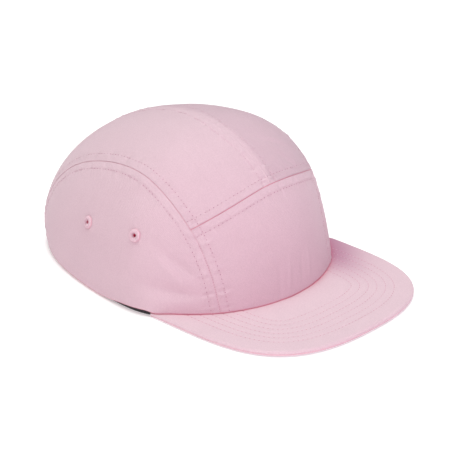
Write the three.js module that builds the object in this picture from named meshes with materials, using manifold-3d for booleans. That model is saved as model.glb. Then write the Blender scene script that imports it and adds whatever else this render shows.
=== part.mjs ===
// A five panel cap in millimetres, +Z up, resting on its flat peak and on the band inside its rim.
// The peak points along -Y and the wearer's left is +X. Lengths are measured from the middle of the
// crown, angles in the tables are degrees: around is counted from the front, up from the level.
import * as THREE from 'three';
import { mergeVertices } from 'three/addons/utils/BufferGeometryUtils.js';
import Module from 'manifold-3d';

// Crown
const CROWN_FRONT = 69.6;
const CROWN_BACK = 131.7;
const CROWN_HALF_WIDTH = 83.3;
const CROWN_HEIGHT = 99;
const WIDEST_LEVEL = 12;
const BASE_DEPTH = 155;
const CROWN_LEAN = 0.162;
const CLOTH = 1.6;
const SEAM_GAP = 0.3;

// Roundness of the crown at its front and its back: 2 is an ellipse, more is squarer
const PLAN_ROUNDNESS = { front: 1.86, back: 2.27 };
const DOME_ROUNDNESS = { front: 2.8, back: 1.84 };

// Peak
const PEAK_REACH = 64;
const PEAK_END = 21.3;
const PEAK_THICKNESS = 3.6;
const PEAK_END_THICKNESS = 2.2;
const PEAK_TAPER = 14;
const PEAK_SIDE_ROUNDNESS = 2.55;
const PEAK_TIP_ROUNDNESS = 4.3;

// Rim
const RIM_CLEARANCE = 0.4;
const RIM_FOOT = 0.5;
const RIM_LOW_POINT = 30;
const BACK_RISE = 3.8;

// Sweatband
const BAND_WIDTH = 30;
const BAND_THICKNESS = 1.2;
const LAYER_GAP = 0.55;

// Arch at the back, its strap and its slider
const ARCH_WIDTH = 76;
const ARCH_HEIGHT = 42;
const STRAP_WIDTH = 18;
const STRAP_THICKNESS = 1.5;
const STRAP_LIFT = 3;
const STRAP_TUCK = 12;
const BUCKLE_LENGTH = 11;
const BUCKLE_WALL = 1.8;
const BUCKLE_CLEARANCE = 1;
const BUCKLE_CORNER = 1.5;

// Eyelets
const EYELET_WIDTH = 9.4;
const EYELET_BORE = 2.6;
const EYELET_WALL = 0.9;
const EYELET_RISE = 0.9;

// Front seam between the two side seams: an arch over the forehead, fuller where its bow is more,
// whose left end is a little higher
const FRONT_SEAM = {
  upInMiddle: 51.5,
  right: { around: 58.9, up: 33.2, bow: 1.85 },
  left: { around: 61.8, up: 35.7, bow: 2.05 },
};

// Where the side seams meet the rim
const SEAM_FOOT = { frontAround: 43.6, backAround: 156 };

// Side seam between its feet: over counts from the front over the top to the back
const SIDE_SEAM = [
  { over: 19, across: 46.6 },
  { over: 51.7, across: 45.8 },
  { over: 89, across: 40.9 },
  { over: 120, across: 35.3 },
  { over: 151, across: 27.8 },
];
const JUNCTION_ROW = 1;

// Where the left side seam passes the front seam's higher end
const LEFT_JUNCTION = { over: 57, across: 45.4 };

// Centre seam, which wanders a little to each side as a sewn seam does
const CENTRE_SEAM = [
  { over: 68, across: -0.4 },
  { over: 84, across: -1.8 },
  { over: 96, across: -0.2 },
  { over: 111, across: 1.6 },
  { over: 140, across: 0.2 },
];

// Broad swells and hollows, the same on both sides of the cap: out is a share of the crown's height
const SWELLS = [
  { around: 90, up: 68, spread: 24, out: 0.035 },
  { around: 0, up: 72, spread: 20, out: -0.0215 },
  { around: 62, up: 22, spread: 25, out: -0.025 },
  { around: 35, up: -6, spread: 18, out: 0.0145 },
  { around: 85, up: -6, spread: 18, out: 0.018 },
  { around: 150, up: -6, spread: 14, out: 0.016 },
  { around: 140, up: 2, spread: 22, out: -0.005 },
  { around: 180, up: 25, spread: 25, out: -0.013 },
];

// Soft folds: long and wide are half sizes in degrees, turn leans the fold from the level
const FOLDS = [
  { around: -74, up: -2, long: 15, wide: 3.5, turn: -3, out: 0.008 },
  { around: -66, up: 5, long: 15, wide: 4, turn: -8, out: -0.009 },
  { around: -63, up: 16, long: 11, wide: 4, turn: -40, out: -0.009 },
  { around: -84, up: 44, long: 16, wide: 4.5, turn: 24, out: -0.01 },
  { around: 74, up: 12, long: 14, wide: 4.5, turn: 55, out: -0.01 },
  { around: 96, up: 42, long: 15, wide: 5, turn: -8, out: -0.009 },
  { around: 150, up: 46, long: 13, wide: 5, turn: 60, out: -0.008 },
  { around: -160, up: 50, long: 13, wide: 5, turn: 75, out: -0.008 },
];

const EYELETS = [
  { name: 'front_eyelet', around: 86.3, up: 25.8 },
  { name: 'rear_eyelet', around: 117, up: 20.7 },
];

// Steps of the meshes: panels that share a seam share its steps
const SIDE_SEAM_STEPS = 36;
const HALF_FRONT_STEPS = 12;
const SIDE_PANEL_ROWS = 11;

const RIGHT = -1;
const LEFT = 1;
const CLOTH_COLOUR = '#e8cbd5';
const BAND_COLOUR = '#1d1c1f';
const METAL_COLOUR = '#b9b7b4';

const radians = THREE.MathUtils.degToRad;
const lerp = THREE.MathUtils.lerp;
const smoothstep = THREE.MathUtils.smoothstep;
const UP = new THREE.Vector3(0, 0, 1);
const MIDDLE = new THREE.Vector3(0, 0, WIDEST_LEVEL);

const wasm = await Module();
wasm.setup();

// Directions from the middle of the crown
function towards(around, up) {
  const a = radians(around);
  const b = radians(up);
  return new THREE.Vector3(Math.sin(a) * Math.cos(b), -Math.cos(a) * Math.cos(b), Math.sin(b));
}

function overTop(over, across) {
  const a = radians(over);
  const b = radians(across);
  return new THREE.Vector3(Math.sin(b), -Math.cos(b) * Math.cos(a), Math.cos(b) * Math.sin(a));
}

// How far a soft fold lifts the cloth in one direction
function foldLift(fold, direction) {
  const centre = towards(fold.around, fold.up);
  const facing = direction.dot(centre);
  if (facing <= 0) return 0;
  const level = UP.clone().cross(centre).normalize();
  const rise = centre.clone().cross(level);
  const turn = radians(fold.turn);
  const a = direction.dot(level);
  const b = direction.dot(rise);
  const along = (a * Math.cos(turn) + b * Math.sin(turn)) / radians(fold.long);
  const aside = (b * Math.cos(turn) - a * Math.sin(turn)) / radians(fold.wide);
  return fold.out * CROWN_HEIGHT * Math.exp(-along * along - aside * aside);
}

function swellLift(swell, direction) {
  const sharpness = 1 / radians(swell.spread) ** 2;
  const sides = swell.around % 180 === 0 ? [1] : [RIGHT, LEFT];
  return sides.reduce((sum, side) => {
    const facing = direction.dot(towards(side * swell.around, swell.up));
    return sum + swell.out * CROWN_HEIGHT * Math.exp(sharpness * (facing - 1));
  }, 0);
}

// Distance from the middle of the crown to its outside
function reach(direction) {
  const { x, y, z } = direction;
  const ahead = y - CROWN_LEAN * z;
  const frontness = 0.5 * (1 - y);
  const plan = lerp(PLAN_ROUNDNESS.back, PLAN_ROUNDNESS.front, frontness);
  const dome = lerp(DOME_ROUNDNESS.back, DOME_ROUNDNESS.front, frontness);
  const length = ahead < 0 ? CROWN_FRONT : CROWN_BACK;
  const height = z >= 0 ? CROWN_HEIGHT - WIDEST_LEVEL : BASE_DEPTH;
  const level = Math.abs(x / CROWN_HALF_WIDTH) ** plan + Math.abs(ahead / length) ** plan;
  const body = (level ** (dome / plan) + Math.abs(z / height) ** dome) ** (-1 / dome);
  const swells = SWELLS.reduce((sum, row) => sum + swellLift(row, direction), 0);
  const folds = FOLDS.reduce((sum, row) => sum + foldLift(row, direction), 0);
  return body + swells + folds;
}

function outside(direction) {
  return direction.clone().multiplyScalar(reach(direction)).add(MIDDLE);
}

function outwards(direction) {
  const step = 0.002;
  const side = direction.clone().cross(UP).normalize();
  const lift = side.clone().cross(direction);
  const at = (axis, amount) => outside(direction.clone().addScaledVector(axis, amount).normalize());
  const across = at(side, step).sub(at(side, -step));
  const along = at(lift, step).sub(at(lift, -step));
  return along.cross(across).normalize();
}

// A point of the cloth at a depth below its outside
function inside(direction, depth) {
  return outside(direction).addScaledVector(outwards(direction), -depth);
}

// The same depth, reached by moving level
function insideLevel(direction, depth) {
  const normal = outwards(direction);
  const level = normal.clone().setZ(0).normalize();
  return outside(direction).addScaledVector(level, -depth / normal.dot(level));
}

// Height of the rim: over the peak at the front, near the floor at the ears, raised at the back
function backRise(y) {
  const share = Math.max(0, (y - RIM_LOW_POINT) / (CROWN_BACK - RIM_LOW_POINT));
  return BACK_RISE * share * share;
}

// The peak grows thinner towards its two ends
function peakThickness(y) {
  const taper = smoothstep(y, -PEAK_END - PEAK_TAPER, -PEAK_END);
  return lerp(PEAK_THICKNESS, PEAK_END_THICKNESS, taper);
}

function rimHeight(y) {
  const overPeak = peakThickness(y) + RIM_CLEARANCE;
  return lerp(overPeak, RIM_FOOT, smoothstep(y, -PEAK_END, RIM_LOW_POINT)) + backRise(y);
}

// Where a rising test passes zero between two values
function solve(test, low, high) {
  let from = low;
  let to = high;
  for (let i = 0; i < 40; i += 1) {
    const middle = 0.5 * (from + to);
    if (test(middle) < 0) from = middle;
    else to = middle;
  }
  return 0.5 * (from + to);
}

// Direction of the level line that runs round the crown at a height given for each point
function levelLine(around, height) {
  const gap = (up) => {
    const point = outside(towards(around, up));
    return point.z - height(point);
  };
  return towards(around, solve(gap, -30, 60));
}

const rim = (around) => levelLine(around, (point) => rimHeight(point.y));
const aroundAtLength = (y) => solve((around) => outside(rim(around)).y - y, 0, 180);
const aroundAtWidth = (x) => solve((around) => x - outside(rim(around)).x, 90, 180);

// A seam is a smooth curve through directions, read from 0 to 1
function seamCurve(directions) {
  const curve = new THREE.CatmullRomCurve3(directions, false, 'centripetal');
  return (share) => curve.getPoint(share).normalize();
}

const sideSeams = {};
for (const side of [RIGHT, LEFT]) {
  const rows = [...SIDE_SEAM];
  if (side === LEFT) rows[JUNCTION_ROW] = LEFT_JUNCTION;
  sideSeams[side] = seamCurve([
    rim(side * SEAM_FOOT.frontAround),
    ...rows.map((row) => overTop(row.over, side * row.across)),
    rim(side * SEAM_FOOT.backAround),
  ]);
}
const JUNCTION = (JUNCTION_ROW + 1) / (SIDE_SEAM.length + 1);
const STEPS_BELOW_JUNCTION = Math.round(SIDE_SEAM_STEPS * JUNCTION);

function frontSeam(share) {
  const end = share < 0 ? FRONT_SEAM.right : FRONT_SEAM.left;
  const drop = (FRONT_SEAM.upInMiddle - end.up) * Math.abs(share) ** end.bow;
  return towards(end.around * share, FRONT_SEAM.upInMiddle - drop);
}

// The front seam's ends are drawn to the side seams, so that the three panels share one corner
function fittedFrontSeam(share) {
  const side = share < 0 ? RIGHT : LEFT;
  const slip = sideSeams[side](JUNCTION).sub(frontSeam(side));
  return frontSeam(share).addScaledVector(slip, Math.abs(share)).normalize();
}

const centreSeam = seamCurve([
  frontSeam(0),
  ...CENTRE_SEAM.map((row) => overTop(row.over, row.across)),
  rim(180),
]);

// A smooth patch of directions between four edges, as rows of directions
function patch(edges, columns, rows) {
  const { low, high, start, end } = edges;
  const grid = [];
  for (let j = 0; j <= rows; j += 1) {
    const v = j / rows;
    const row = [];
    for (let i = 0; i <= columns; i += 1) {
      const u = i / columns;
      const sum = new THREE.Vector3()
        .addScaledVector(low(u), 1 - v)
        .addScaledVector(high(u), v)
        .addScaledVector(start(v), 1 - u)
        .addScaledVector(end(v), u)
        .addScaledVector(low(0), -(1 - u) * (1 - v))
        .addScaledVector(low(1), -u * (1 - v))
        .addScaledVector(high(0), -(1 - u) * v)
        .addScaledVector(high(1), -u * v);
      row.push(sum.normalize());
    }
    grid.push(row);
  }
  return grid;
}

// Indices of a grid's edge, once round
function gridRing(rows, columns) {
  const ring = [];
  for (let i = 0; i < columns; i += 1) ring.push([0, i]);
  for (let j = 0; j < rows; j += 1) ring.push([j, columns]);
  for (let i = columns; i > 0; i -= 1) ring.push([rows, i]);
  for (let j = rows; j > 0; j -= 1) ring.push([j, 0]);
  return ring;
}

// Points of a grid of directions at one depth, with the edge drawn in by half a seam gap
function clothLayer(grid, depth) {
  const layer = grid.map((row) => row.map((direction) => inside(direction, depth)));
  const ring = gridRing(grid.length - 1, grid[0].length - 1)
    .map(([j, i]) => ({ j, i, point: layer[j][i].clone(), normal: outwards(grid[j][i]) }))
    .filter((spot, k, all) => spot.point.distanceTo(all[(k + 1) % all.length].point) > 0.01);
  const heart = layer[layer.length >> 1][layer[0].length >> 1];
  ring.forEach((spot, k) => {
    const before = ring[(k + ring.length - 1) % ring.length].point;
    const after = ring[(k + 1) % ring.length].point;
    const arrive = spot.point.clone().sub(before).normalize();
    const leave = after.clone().sub(spot.point).normalize();
    const inward = arrive.clone().add(leave).cross(spot.normal).normalize();
    if (inward.dot(heart.clone().sub(spot.point)) < 0) inward.negate();
    const squareness = Math.max(0.4, Math.abs(leave.clone().cross(spot.normal).dot(inward)));
    spot.moved = spot.point.clone().addScaledVector(inward, (0.5 * SEAM_GAP) / squareness);
  });
  return layer.map((row) => row.map((point) => {
    const spot = ring.find((other) => other.point.distanceTo(point) < 0.01);
    return spot ? spot.moved : point;
  }));
}

function triangleMesh(points, triangles) {
  const geometry = new THREE.BufferGeometry();
  const positions = points.flatMap((point) => point.toArray());
  geometry.setAttribute('position', new THREE.Float32BufferAttribute(positions, 3));
  geometry.setIndex(triangles.flat());
  return facingOut(geometry);
}

// Merges shared points, drops triangles that have closed up and turns the faces outwards
function facingOut(source) {
  const bare = new THREE.BufferGeometry();
  bare.setAttribute('position', source.getAttribute('position'));
  bare.setIndex(source.getIndex() ?? [...source.getAttribute('position').array.keys()]
    .slice(0, source.getAttribute('position').count));
  const merged = mergeVertices(bare, 1e-4);
  const position = merged.getAttribute('position');
  const index = merged.getIndex().array;
  const corner = (k) => new THREE.Vector3().fromBufferAttribute(position, k);
  const kept = [];
  let volume = 0;
  for (let k = 0; k < index.length; k += 3) {
    const [a, b, c] = [index[k], index[k + 1], index[k + 2]];
    if (a !== b && b !== c && c !== a) {
      kept.push([a, b, c]);
      volume += corner(a).dot(corner(b).cross(corner(c)));
    }
  }
  merged.setIndex(kept.flatMap(([a, b, c]) => (volume < 0 ? [a, c, b] : [a, b, c])));
  merged.computeVertexNormals();
  return merged;
}

// A closed sheet between two grids of points with the same rows and columns
function sheet(outer, inner) {
  const rows = outer.length - 1;
  const columns = outer[0].length - 1;
  const points = [...outer.flat(), ...inner.flat()];
  const half = outer.flat().length;
  const id = (j, i) => j * (columns + 1) + i;
  const triangles = [];
  for (let j = 0; j < rows; j += 1) {
    for (let i = 0; i < columns; i += 1) {
      const [a, b, c, d] = [id(j, i), id(j, i + 1), id(j + 1, i + 1), id(j + 1, i)];
      triangles.push([a, b, c], [a, c, d]);
      triangles.push([half + a, half + c, half + b], [half + a, half + d, half + c]);
    }
  }
  const ring = gridRing(rows, columns).map(([j, i]) => id(j, i));
  ring.forEach((a, k) => {
    const b = ring[(k + 1) % ring.length];
    triangles.push([a, half + a, half + b], [a, half + b, b]);
  });
  return triangleMesh(points, triangles);
}

function solidOf(geometry) {
  const mesh = new wasm.Mesh({
    numProp: 3,
    vertProperties: new Float32Array(geometry.getAttribute('position').array),
    triVerts: new Uint32Array(geometry.getIndex().array),
  });
  return new wasm.Manifold(mesh);
}

function cutAway(geometry, tools) {
  let solid = solidOf(geometry);
  for (const tool of tools) solid = solid.subtract(solidOf(facingOut(tool)));
  const result = solid.getMesh();
  const cut = new THREE.BufferGeometry();
  cut.setAttribute('position', new THREE.BufferAttribute(result.vertProperties, 3));
  cut.setIndex(new THREE.BufferAttribute(result.triVerts, 1));
  return facingOut(cut);
}

function piece(name, geometry, colour, roughness, metalness = 0) {
  const material = new THREE.MeshStandardMaterial({ color: colour, roughness, metalness });
  const mesh = new THREE.Mesh(geometry, material);
  mesh.name = name;
  return mesh;
}

function clothPanel(grid) {
  return sheet(clothLayer(grid, 0), clothLayer(grid, CLOTH));
}

function frontPanel() {
  const foot = SEAM_FOOT.frontAround;
  const edges = {
    low: (u) => rim(lerp(-foot, foot, u)),
    high: (u) => fittedFrontSeam(lerp(-1, 1, u)),
    start: (v) => sideSeams[RIGHT](v * JUNCTION),
    end: (v) => sideSeams[LEFT](v * JUNCTION),
  };
  const grid = patch(edges, 2 * HALF_FRONT_STEPS, STEPS_BELOW_JUNCTION);
  return piece('front_panel', clothPanel(grid), CLOTH_COLOUR, 0.9);
}

// The arch that is cut out of the two top panels over the back strap
function archTool() {
  const shape = new THREE.Shape();
  const half = ARCH_WIDTH / 2;
  const floor = -ARCH_HEIGHT;
  const foot = rimHeight(CROWN_BACK);
  shape.moveTo(half, floor);
  shape.lineTo(half, foot);
  shape.absellipse(0, foot, half, ARCH_HEIGHT, 0, Math.PI, false);
  shape.lineTo(-half, floor);
  shape.closePath();
  const depth = CROWN_BACK;
  const tool = new THREE.ExtrudeGeometry(shape, { depth, bevelEnabled: false, curveSegments: 24 });
  tool.rotateX(Math.PI / 2);
  tool.translate(0, depth + CROWN_BACK / 2, 0);
  return tool;
}

function topPanel(name, side) {
  const edges = {
    low: (u) => fittedFrontSeam(side * (1 - u)),
    high: (u) => rim(side * lerp(SEAM_FOOT.backAround, 180, u)),
    start: (v) => sideSeams[side](lerp(JUNCTION, 1, v)),
    end: (v) => centreSeam(v),
  };
  const cloth = clothPanel(patch(edges, HALF_FRONT_STEPS, SIDE_SEAM_STEPS - STEPS_BELOW_JUNCTION));
  return piece(name, cutAway(cloth, [archTool()]), CLOTH_COLOUR, 0.9);
}

// Turns a shape made along +Y so that it stands on the cloth at one direction
function seat(geometry, direction) {
  const turn = new THREE.Quaternion().setFromUnitVectors(new THREE.Vector3(0, 1, 0), outwards(direction));
  const place = outside(direction);
  geometry.applyQuaternion(turn);
  geometry.translate(place.x, place.y, place.z);
  return geometry;
}

function eyeletHole(direction) {
  const radius = EYELET_BORE / 2 + EYELET_WALL + LAYER_GAP;
  return seat(new THREE.CylinderGeometry(radius, radius, 6 * CLOTH, 16), direction);
}

function sidePanel(name, side) {
  const { frontAround, backAround } = SEAM_FOOT;
  const edges = {
    low: (u) => rim(side * lerp(frontAround, backAround, u)),
    high: (u) => sideSeams[side](u),
    start: () => rim(side * frontAround),
    end: () => rim(side * backAround),
  };
  const holes = EYELETS.map((row) => eyeletHole(towards(side * row.around, row.up)));
  const cloth = clothPanel(patch(edges, SIDE_SEAM_STEPS, SIDE_PANEL_ROWS));
  return piece(name, cutAway(cloth, holes), CLOTH_COLOUR, 0.9);
}

// An embroidered ring on the cloth with a short barrel of thread through the hole
function eyelet(name, direction) {
  const bore = EYELET_BORE / 2;
  const barrel = bore + EYELET_WALL;
  const ring = EYELET_WIDTH / 2;
  const top = LAYER_GAP + EYELET_RISE;
  const profile = [
    [bore, -CLOTH],
    [barrel, -CLOTH],
    [barrel, LAYER_GAP],
    [ring, LAYER_GAP],
    [ring, lerp(LAYER_GAP, top, 0.4)],
    [lerp(ring, barrel, 0.35), top],
    [lerp(ring, barrel, 0.75), top],
    [bore, lerp(LAYER_GAP, top, 0.3)],
    [bore, -CLOTH],
  ].map(([x, y]) => new THREE.Vector2(x, y));
  const shape = facingOut(new THREE.LatheGeometry(profile, 16));
  return piece(name, seat(shape, direction), CLOTH_COLOUR, 0.8);
}

// The peak's outer edge in plan, from the right end round the tip to the left end
class PeakEdge extends THREE.Curve {
  constructor(halfWidth) {
    super();
    this.halfWidth = halfWidth;
    this.arcLengthDivisions = 1200;
  }

  getPoint(share, target = new THREE.Vector3()) {
    const angle = Math.PI * share;
    const side = -Math.cos(angle);
    const x = Math.sign(side) * Math.abs(side) ** (2 / PEAK_SIDE_ROUNDNESS);
    const forward = Math.sin(angle) ** (2 / PEAK_TIP_ROUNDNESS);
    const length = CROWN_FRONT + PEAK_REACH - PEAK_END;
    return target.set(this.halfWidth * x, -PEAK_END - length * forward, 0);
  }
}

// Section of the peak from its edge at the crown to its rounded outer edge, as a closed ring
function peakSection(root, tip) {
  const out = tip.clone().sub(root);
  const width = out.length();
  out.normalize();
  const round = Math.min(PEAK_THICKNESS / 2, 0.45 * width);
  const shares = [0, 0.34, 0.67, 1];
  const at = (distance, level) => {
    const point = root.clone().addScaledVector(out, distance);
    return point.setZ(level * peakThickness(point.y));
  };
  const flat = width - round;
  const ring = shares.map((share) => at(share * flat, 0));
  for (const angle of [-60, -30, 0, 30, 60].map(radians)) {
    ring.push(at(flat + round * Math.cos(angle), 0.5 + 0.5 * Math.sin(angle)));
  }
  return [...ring, ...shares.toReversed().map((share) => at(share * flat, 1))];
}

// A closed body through rings of points, with flat ends
function loft(rings) {
  const count = rings[0].length;
  const triangles = [];
  for (let j = 0; j + 1 < rings.length; j += 1) {
    for (let i = 0; i < count; i += 1) {
      const next = (i + 1) % count;
      const [a, b] = [j * count + i, j * count + next];
      triangles.push([a, b, b + count], [a, b + count, a + count]);
    }
  }
  const last = (rings.length - 1) * count;
  const steps = count / 2 - 1;
  for (let i = 0; i < steps; i += 1) {
    const [a, b, c, d] = [i, i + 1, count - 2 - i, count - 1 - i];
    triangles.push([a, c, b], [a, d, c], [last + a, last + b, last + c], [last + a, last + c, last + d]);
  }
  return triangleMesh(rings.flat(), triangles);
}

function peak() {
  const end = aroundAtLength(-PEAK_END);
  const foot = (around) => insideLevel(rim(around), CLOTH - LAYER_GAP).setZ(0);
  const edge = new PeakEdge(outside(rim(end)).x);
  const steps = 44;
  const rings = [];
  for (let k = 0; k <= steps; k += 1) {
    const share = k / steps;
    rings.push(peakSection(foot(lerp(-end, end, share)), edge.getPointAt(share)));
  }
  return piece('peak', loft(rings), CLOTH_COLOUR, 0.9);
}

// A band that follows the inside of the crown between two heights
function innerBand(from, to, lowest, width, thickness, columns, rows) {
  const near = CLOTH + LAYER_GAP;
  const grid = [];
  for (let j = 0; j <= rows; j += 1) {
    const row = [];
    for (let i = 0; i <= columns; i += 1) {
      const around = lerp(from, to, i / columns);
      row.push(levelLine(around, (point) => lowest(point.y) + (width * j) / rows));
    }
    grid.push(row);
  }
  const layer = (depth) => grid.map((row) => row.map((direction) => insideLevel(direction, depth)));
  return sheet(layer(near), layer(near + thickness));
}

function sweatband() {
  const end = aroundAtWidth(ARCH_WIDTH / 2 + STRAP_TUCK + LAYER_GAP);
  const band = innerBand(-end, end, backRise, BAND_WIDTH, BAND_THICKNESS, 56, 4);
  return piece('sweatband', band, BAND_COLOUR, 0.85);
}

function strapLevel(y) {
  return rimHeight(y) + STRAP_LIFT;
}

function backStrap() {
  const end = aroundAtWidth(ARCH_WIDTH / 2 + STRAP_TUCK);
  const strap = innerBand(end, 360 - end, strapLevel, STRAP_WIDTH, STRAP_THICKNESS, 24, 1);
  return piece('back_strap', strap, CLOTH_COLOUR, 0.8);
}

// A point in the middle of the strap's thickness at its back, at a height above its lower edge
function strapMiddle(height) {
  const direction = levelLine(180, (point) => strapLevel(point.y) + height);
  return insideLevel(direction, CLOTH + LAYER_GAP + STRAP_THICKNESS / 2);
}

// A plain slider round the strap
function buckle() {
  const low = strapMiddle(0);
  const high = strapMiddle(STRAP_WIDTH);
  const centre = low.clone().lerp(high, 0.5);
  const rise = high.clone().sub(low).normalize();
  const along = new THREE.Vector3(1, 0, 0);
  const window = {
    x: high.distanceTo(low) / 2 + BUCKLE_CLEARANCE,
    y: STRAP_THICKNESS / 2 + BUCKLE_CLEARANCE,
  };
  const outer = { x: window.x + BUCKLE_WALL, y: window.y + BUCKLE_WALL };
  const corner = Math.min(BUCKLE_CORNER, outer.y / 2);
  const shape = new THREE.Shape();
  shape.moveTo(-outer.x + corner, -outer.y);
  for (const [x, y, start] of [[1, -1, -90], [1, 1, 0], [-1, 1, 90], [-1, -1, 180]]) {
    const [cx, cy] = [x * (outer.x - corner), y * (outer.y - corner)];
    shape.absarc(cx, cy, corner, radians(start), radians(start + 90), false);
  }
  const hole = new THREE.Path();
  hole.moveTo(-window.x, -window.y);
  hole.lineTo(-window.x, window.y);
  hole.lineTo(window.x, window.y);
  hole.lineTo(window.x, -window.y);
  hole.closePath();
  shape.holes.push(hole);
  const options = { depth: BUCKLE_LENGTH, bevelEnabled: false, curveSegments: 4 };
  const ring = new THREE.ExtrudeGeometry(shape, options);
  ring.translate(0, 0, -BUCKLE_LENGTH / 2);
  ring.applyMatrix4(new THREE.Matrix4().makeBasis(rise, along.clone().cross(rise), along));
  ring.translate(centre.x, centre.y, centre.z);
  return piece('buckle', facingOut(ring), METAL_COLOUR, 0.35, 0.9);
}

const cap = new THREE.Group();
cap.add(frontPanel(), peak(), sweatband(), backStrap(), buckle());
for (const [word, side] of [['right', RIGHT], ['left', LEFT]]) {
  cap.add(topPanel(`${word}_top_panel`, side), sidePanel(`${word}_side_panel`, side));
  for (const row of EYELETS) cap.add(eyelet(`${word}_${row.name}`, towards(side * row.around, row.up)));
}

// The whole cap stands over the middle of its own box
const box = new THREE.Box3().setFromObject(cap);
const centre = box.getCenter(new THREE.Vector3());
cap.position.set(-centre.x, -centre.y, -box.min.z);

const fivePanelCap = new THREE.Group();
fivePanelCap.add(cap);
export default fivePanelCap;
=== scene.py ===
"""A five panel cap in pink brushed cotton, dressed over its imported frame.

Sizes are in millimetres and angles in degrees, measured from the middle of the crown. The peak
points along -Y and the wearer's left is +X. Meshes are turned into metres when they are made.
"""

import logging
import math
from dataclasses import dataclass, field
from enum import Enum
from functools import cached_property
from typing import Callable, Iterable, Optional, Protocol

import bmesh
import bpy
import numpy as np
from mathutils import Matrix, Vector

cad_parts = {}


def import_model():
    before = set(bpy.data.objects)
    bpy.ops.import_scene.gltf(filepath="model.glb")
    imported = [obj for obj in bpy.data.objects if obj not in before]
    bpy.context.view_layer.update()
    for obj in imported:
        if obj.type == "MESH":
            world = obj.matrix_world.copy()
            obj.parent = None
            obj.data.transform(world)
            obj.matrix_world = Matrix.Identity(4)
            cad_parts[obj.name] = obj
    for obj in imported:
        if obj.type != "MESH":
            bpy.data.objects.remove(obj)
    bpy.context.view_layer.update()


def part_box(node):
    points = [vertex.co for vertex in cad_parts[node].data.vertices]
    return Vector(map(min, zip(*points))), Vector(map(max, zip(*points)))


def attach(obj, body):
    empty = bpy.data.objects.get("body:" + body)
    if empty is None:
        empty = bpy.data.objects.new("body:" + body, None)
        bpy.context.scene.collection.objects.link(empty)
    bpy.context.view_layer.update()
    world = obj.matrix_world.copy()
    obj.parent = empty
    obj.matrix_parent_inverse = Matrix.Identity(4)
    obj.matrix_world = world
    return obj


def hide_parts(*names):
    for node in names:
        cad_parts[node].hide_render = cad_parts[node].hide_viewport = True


Array = np.ndarray
Curve = Callable[[Array], Array]
Colour = tuple[float, float, float]

LOG = logging.getLogger("cap")
METRES = 0.001


class Side(Enum):
    """The wearer's right and left."""

    RIGHT = -1
    LEFT = 1

    @property
    def word(self) -> str:
        """The side's name in lower case."""
        return self.name.lower()


class Edging(Enum):
    """How the edge of a cloth panel is finished."""

    SEAM = "sewn to its neighbour, with a row of stitches beside it"
    LAP = "the same, standing a little proud of its neighbour"
    RIDGE = "sewn to its neighbour and pressed up into a fine ridge"
    FLAT = "sewn to its neighbour and pressed flat"
    FINE = "sewn to its neighbour with a fine crease between them"
    RIM = "turned in at the rim"
    HEM = "turned in and stitched at the arch"


@dataclass(frozen=True)
class EdgeLook:
    """How far an edge turns down, how high it stands, and how deep and wide the painted shade beside it is.
    """

    roll: float
    ridge: float
    shade: float
    shade_width: float


# The last two numbers of each look are the strength and width of its painted shade.
EDGE_LOOKS = {
    Edging.SEAM: EdgeLook(0.22, 0.0, 0.85, 0.4),
    Edging.LAP: EdgeLook(0.08, 0.4, 0.0, 0.3),
    Edging.RIDGE: EdgeLook(0.06, 0.5, 0.0, 0.3),
    Edging.FLAT: EdgeLook(0.08, 0.0, 0.12, 0.3),
    Edging.FINE: EdgeLook(0.12, 0.0, 0.46, 0.28),
    Edging.RIM: EdgeLook(0.4, 0.0, 0.75, 0.5),
    Edging.HEM: EdgeLook(0.8, 0.0, 0.3, 0.4),
}


def towards(around: Array, up: Array) -> Array:
    """Gives directions from the middle of the crown.

    Args:
        around: Degrees from the front, towards the wearer's left.
        up: Degrees up from the level.

    Returns:
        Unit vectors, one to a row.
    """
    a, b = np.broadcast_arrays(np.radians(around), np.radians(up))
    return np.stack([np.sin(a) * np.cos(b), -np.cos(a) * np.cos(b), np.sin(b)], axis=-1)


def over_top(over: Array, across: Array) -> Array:
    """Gives directions counted from the front over the top to the back.

    Args:
        over: Degrees from the front over the top.
        across: Degrees to the wearer's left.

    Returns:
        Unit vectors, one to a row.
    """
    a, b = np.broadcast_arrays(np.radians(over), np.radians(across))
    return np.stack([np.sin(b), -np.cos(b) * np.cos(a), np.cos(b) * np.sin(a)], axis=-1)


def unit(vectors: Array) -> Array:
    """Scales each vector to a length of 1."""
    return vectors / np.linalg.norm(vectors, axis=-1, keepdims=True)


def smoothstep(values: Array, low: float, high: float) -> Array:
    """Rises smoothly from 0 at low to 1 at high."""
    share = np.clip((values - low) / (high - low), 0.0, 1.0)
    return share * share * (3.0 - 2.0 * share)


def between(start: float, end: float, share: Array) -> Array:
    """Goes straight from start to end as share goes from 0 to 1."""
    return start + (end - start) * share


def gathered(values: Array, amount: float) -> Array:
    """Draws evenly spaced shares closer together towards both ends.

    Args:
        values: Shares from 0 to 1.
        amount: 0 leaves them, near 1 gathers them most.

    Returns:
        Shares from 0 to 1.
    """
    return values - amount * np.sin(2.0 * np.pi * values) / (2.0 * np.pi)


def lengths_along(line: Array) -> Array:
    """Gives how far each point of a line is from its start."""
    steps = np.linalg.norm(np.diff(line, axis=0), axis=1)
    return np.concatenate([[0.0], np.cumsum(steps)])


def spaced(line: Array, pitch: float) -> Array:
    """Lays points along a line at an even pitch, with the ends included.

    Args:
        line: Points of the line.
        pitch: The distance wanted between points.

    Returns:
        The new points.
    """
    reach = lengths_along(line)
    count = max(2, int(round(reach[-1] / pitch)) + 1)
    marks = np.linspace(0.0, reach[-1], count)
    return np.stack([np.interp(marks, reach, line[:, k]) for k in range(line.shape[1])], axis=1)


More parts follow.
